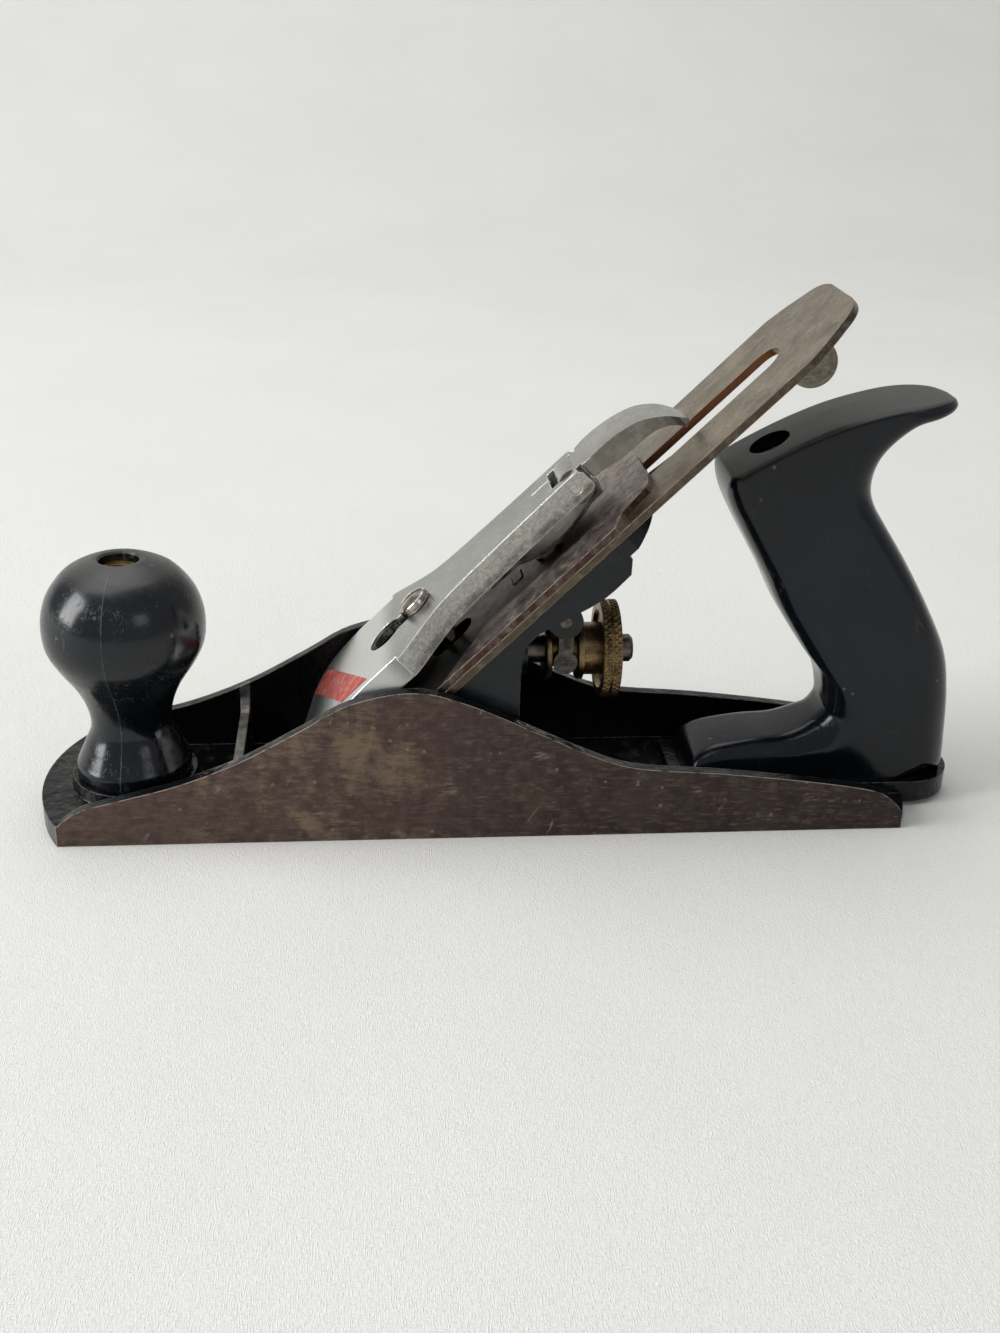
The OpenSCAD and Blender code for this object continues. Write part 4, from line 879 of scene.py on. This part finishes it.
@dataclass
class Studio:
    """Floor, backdrop, soft lights and the camera at the photo's place."""

    eye: tuple[float, float, float] = (-0.0395, -0.3747, 0.2118)
    right: tuple[float, float, float] = (0.9959, -0.0867, 0.0263)
    up: tuple[float, float, float] = (0.0124, 0.4185, 0.9081)
    lens: float = 54.37
    floor_tone: Colour = field(default_factory=lambda: tone(230, 229, 224))

    def camera(self) -> None:
        """Places the camera from its right and up directions."""
        right, up = np.array(self.right), np.array(self.up)
        right /= np.linalg.norm(right)
        up -= right * (right @ up)
        up /= np.linalg.norm(up)
        turn = np.stack([right, up, np.cross(right, up)], 1)
        data = bpy.data.cameras.new("camera")
        data.sensor_width, data.sensor_fit, data.lens = 36, "HORIZONTAL", self.lens
        data.clip_start, data.clip_end = 0.01, 20
        camera = bpy.data.objects.new("camera", data)
        bpy.context.scene.collection.objects.link(camera)
        camera.matrix_world = Matrix.Translation(self.eye) @ Matrix(turn.tolist()).to_4x4()
        bpy.context.scene.camera = camera

    def floor(self) -> None:
        """A pale cloth-like floor that sweeps up into a backdrop: flat, a quarter turn, then upright."""
        bend = np.radians(np.linspace(0, 90, 25))
        y = np.concatenate([[-3.0, -0.5, 0.3], 0.8 + 1.2 * np.sin(bend), [2.0]])
        z = np.concatenate([[0.0, 0.0, 0.0], 1.2 - 1.2 * np.cos(bend), [4.0]])
        x = np.linspace(-4, 4, 9)
        grid = np.stack([np.broadcast_to(x[None], (len(y), 9)), np.broadcast_to(y[:, None], (len(y), 9)),
                         np.broadcast_to(z[:, None], (len(y), 9))], -1) / MM
        sweep = solid("sweep", [(grid, skin(grid))], 80)
        b = Bench("sweep_cloth")
        weave = b.either(b.noise(0.55, 1, 0.4, (0.35, 2.0, 1)), b.noise(0.55, 1, 0.4, (2.0, 0.35, 1)))
        colour = b.mix(b.ramp(b.noise(120, 3), 0.3, 0.7), self.floor_tone, tuple(c * 0.97 for c in self.floor_tone))
        sweep.data.materials.append(b.finish(colour, 0.0, 0.85, weave, 0.3, 0.01))

    def lamp(self, name: str, place: tuple[float, float, float], size: tuple[float, float], power: float,
             aim: tuple[float, float, float] = (0, 0, 0.04)) -> None:
        """A rectangular soft lamp that looks at a point.

        Args:
            name: its name.
            place: where it stands, m.
            size: width and height, m.
            power: watts.
            aim: the point that it looks at.
        """
        data = bpy.data.lights.new(name, "AREA")
        data.shape, data.size, data.size_y, data.energy = "RECTANGLE", size[0], size[1], power
        lamp = bpy.data.objects.new(name, data)
        bpy.context.scene.collection.objects.link(lamp)
        back = np.array(place) - np.array(aim)
        back /= np.linalg.norm(back)
        side = np.cross([0, 0, 1], back)
        side /= np.linalg.norm(side)
        turn = np.stack([side, np.cross(back, side), back], 1)
        lamp.matrix_world = Matrix.Translation(place) @ Matrix(turn.tolist()).to_4x4()

    def light(self) -> None:
        """A window on the left, a weak fill on the right and a pale room."""
        self.lamp("window", (-2.08, -0.34, 0.98), (1.0, 1.5), 46)
        self.lamp("ceiling", (-0.3, 0.3, 1.6), (1.8, 1.2), 12)
        self.lamp("fill", (1.2, -1.8, 1.2), (0.8, 0.8), 3)
        world = bpy.data.worlds.new("room")
        bpy.context.scene.world = world
        world.use_nodes = True
        world.node_tree.nodes["Background"].inputs[0].default_value = (0.93, 0.95, 1.0, 1)
        world.node_tree.nodes["Background"].inputs[1].default_value = 0.4
        bpy.context.scene.view_settings.view_transform = "Standard"


@dataclass
class SmoothingPlane:
    """The whole plane: one call dresses or builds each part."""

    knob: Knob = field(default_factory=Knob)
    tote: Tote = field(default_factory=Tote)
    wheel: Wheel = field(default_factory=Wheel)

    def build(self) -> None:
        """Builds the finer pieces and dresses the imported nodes."""
        knob_black = MouldedBlack("knob_black", 0.42, 65.0, 1.0, (Knob.line_at, Knob.axis_x)).made()
        fitted(self.knob.build(), knob_black, "plane", "black_plastic", "knob")
        tote_black = MouldedBlack("tote_black", 0.32, 90.0, 0.25).made()
        fitted(self.tote.build(), tote_black, "plane", "black_plastic", "tote")
        brass = BareMetal("aged_brass", tone(152, 130, 92), tone(88, 72, 50), tone(46, 36, 26), Wear.STAINED, (0.3, 0.5), 0.04, blotch=3).made()
        fitted(self.wheel.build(), brass, "wheel", "wheel_brass", "depth_wheel")
        bright = BareMetal("screw_plate", tone(206, 202, 196), tone(140, 124, 110), tone(92, 52, 32), Wear.STAINED, (0.12, 0.28),
                           0.02, blotch=2).made()
        fitted(ClampScrew().build(), bright, "clamp_screw", "plated_screw", "lever_cap_screw")
        dress("body", BodyIron().made())
        paint = BlackPaint().made()
        dress("frog", paint)
        dark = BareMetal("dark_steel", tone(120, 112, 104), tone(62, 56, 52), wear=Wear.STAINED, blotch=4).made()
        # cam_spring wears this dark steel partly for its own dark brown and partly as painted shade in the space
        # beneath the lever cap wall
        for node in ("knob_rod", "tote_rod", "frog_screws", "frog_washers", "adjusting_stud", "yoke_pin", "lateral_pivot",
                     "cap_iron_screw", "spring_rivet", "cam_spring"):
            dress(node, dark)
        nuts = BareMetal("nut_brass", tone(150, 122, 78), tone(74, 56, 36), tone(40, 28, 18), Wear.STAINED, (0.28, 0.45), blotch=2).made()
        dress("knob_nut", nuts)
        dress("tote_nut", nuts)
        dress("yoke", BareMetal("yoke_casting", tone(112, 110, 105), tone(58, 56, 53), wear=Wear.STAINED, rough=(0.45, 0.6), grain=0.12, blotch=3).made())
        pale = BareMetal("lateral_steel", tone(150, 146, 128), tone(98, 94, 80), wear=Wear.CLEAN, rough=(0.35, 0.5), blotch=4).made()
        for node in ("lateral_lever", "lateral_roller"):
            dress(node, pale)
        dress("iron", BareMetal("blade_steel", tone(162, 152, 136), tone(118, 107, 92), tone(84, 56, 40), Wear.STAINED, (0.3, 0.46),
                                0.03, (0.3, 1, 1), (0, -45, 0), 9, tone(84, 74, 63), slot=tone(120, 76, 52)).made())
        # the cap iron's last colour is painted shade beneath the lever cap
        dress("cap_iron", BareMetal("cap_steel", tone(172, 160, 152), tone(92, 80, 77), tone(78, 52, 40), Wear.STAINED, (0.34, 0.5),
                                    0.05, (0.4, 1, 1), (0, -45, 0), 3.5, tone(70, 54, 45), painted_shade_under_cap=tone(24, 21, 19)).made())
        plated = PlatedCap().made()
        dress("lever_cap", plated)
        dress("cam_pin", bright)
        dress("cam_lever", BareMetal("plated_lever", tone(184, 183, 178), tone(150, 147, 141), tone(96, 78, 62), Wear.CLEAN, (0.2, 0.32),
                                     0.02, (0.05, 1, 1), (0, -45, 0), 12, tone(120, 116, 108)).made())
        dress("label", BareLabel().made())


def main() -> None:
    """Builds the studio and the plane."""
    logging.basicConfig(level=logging.INFO, format="%(message)s")
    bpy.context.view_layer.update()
    studio = Studio()
    studio.camera()
    studio.floor()
    studio.light()
    SmoothingPlane().build()


if __name__ == "__main__":
    main()
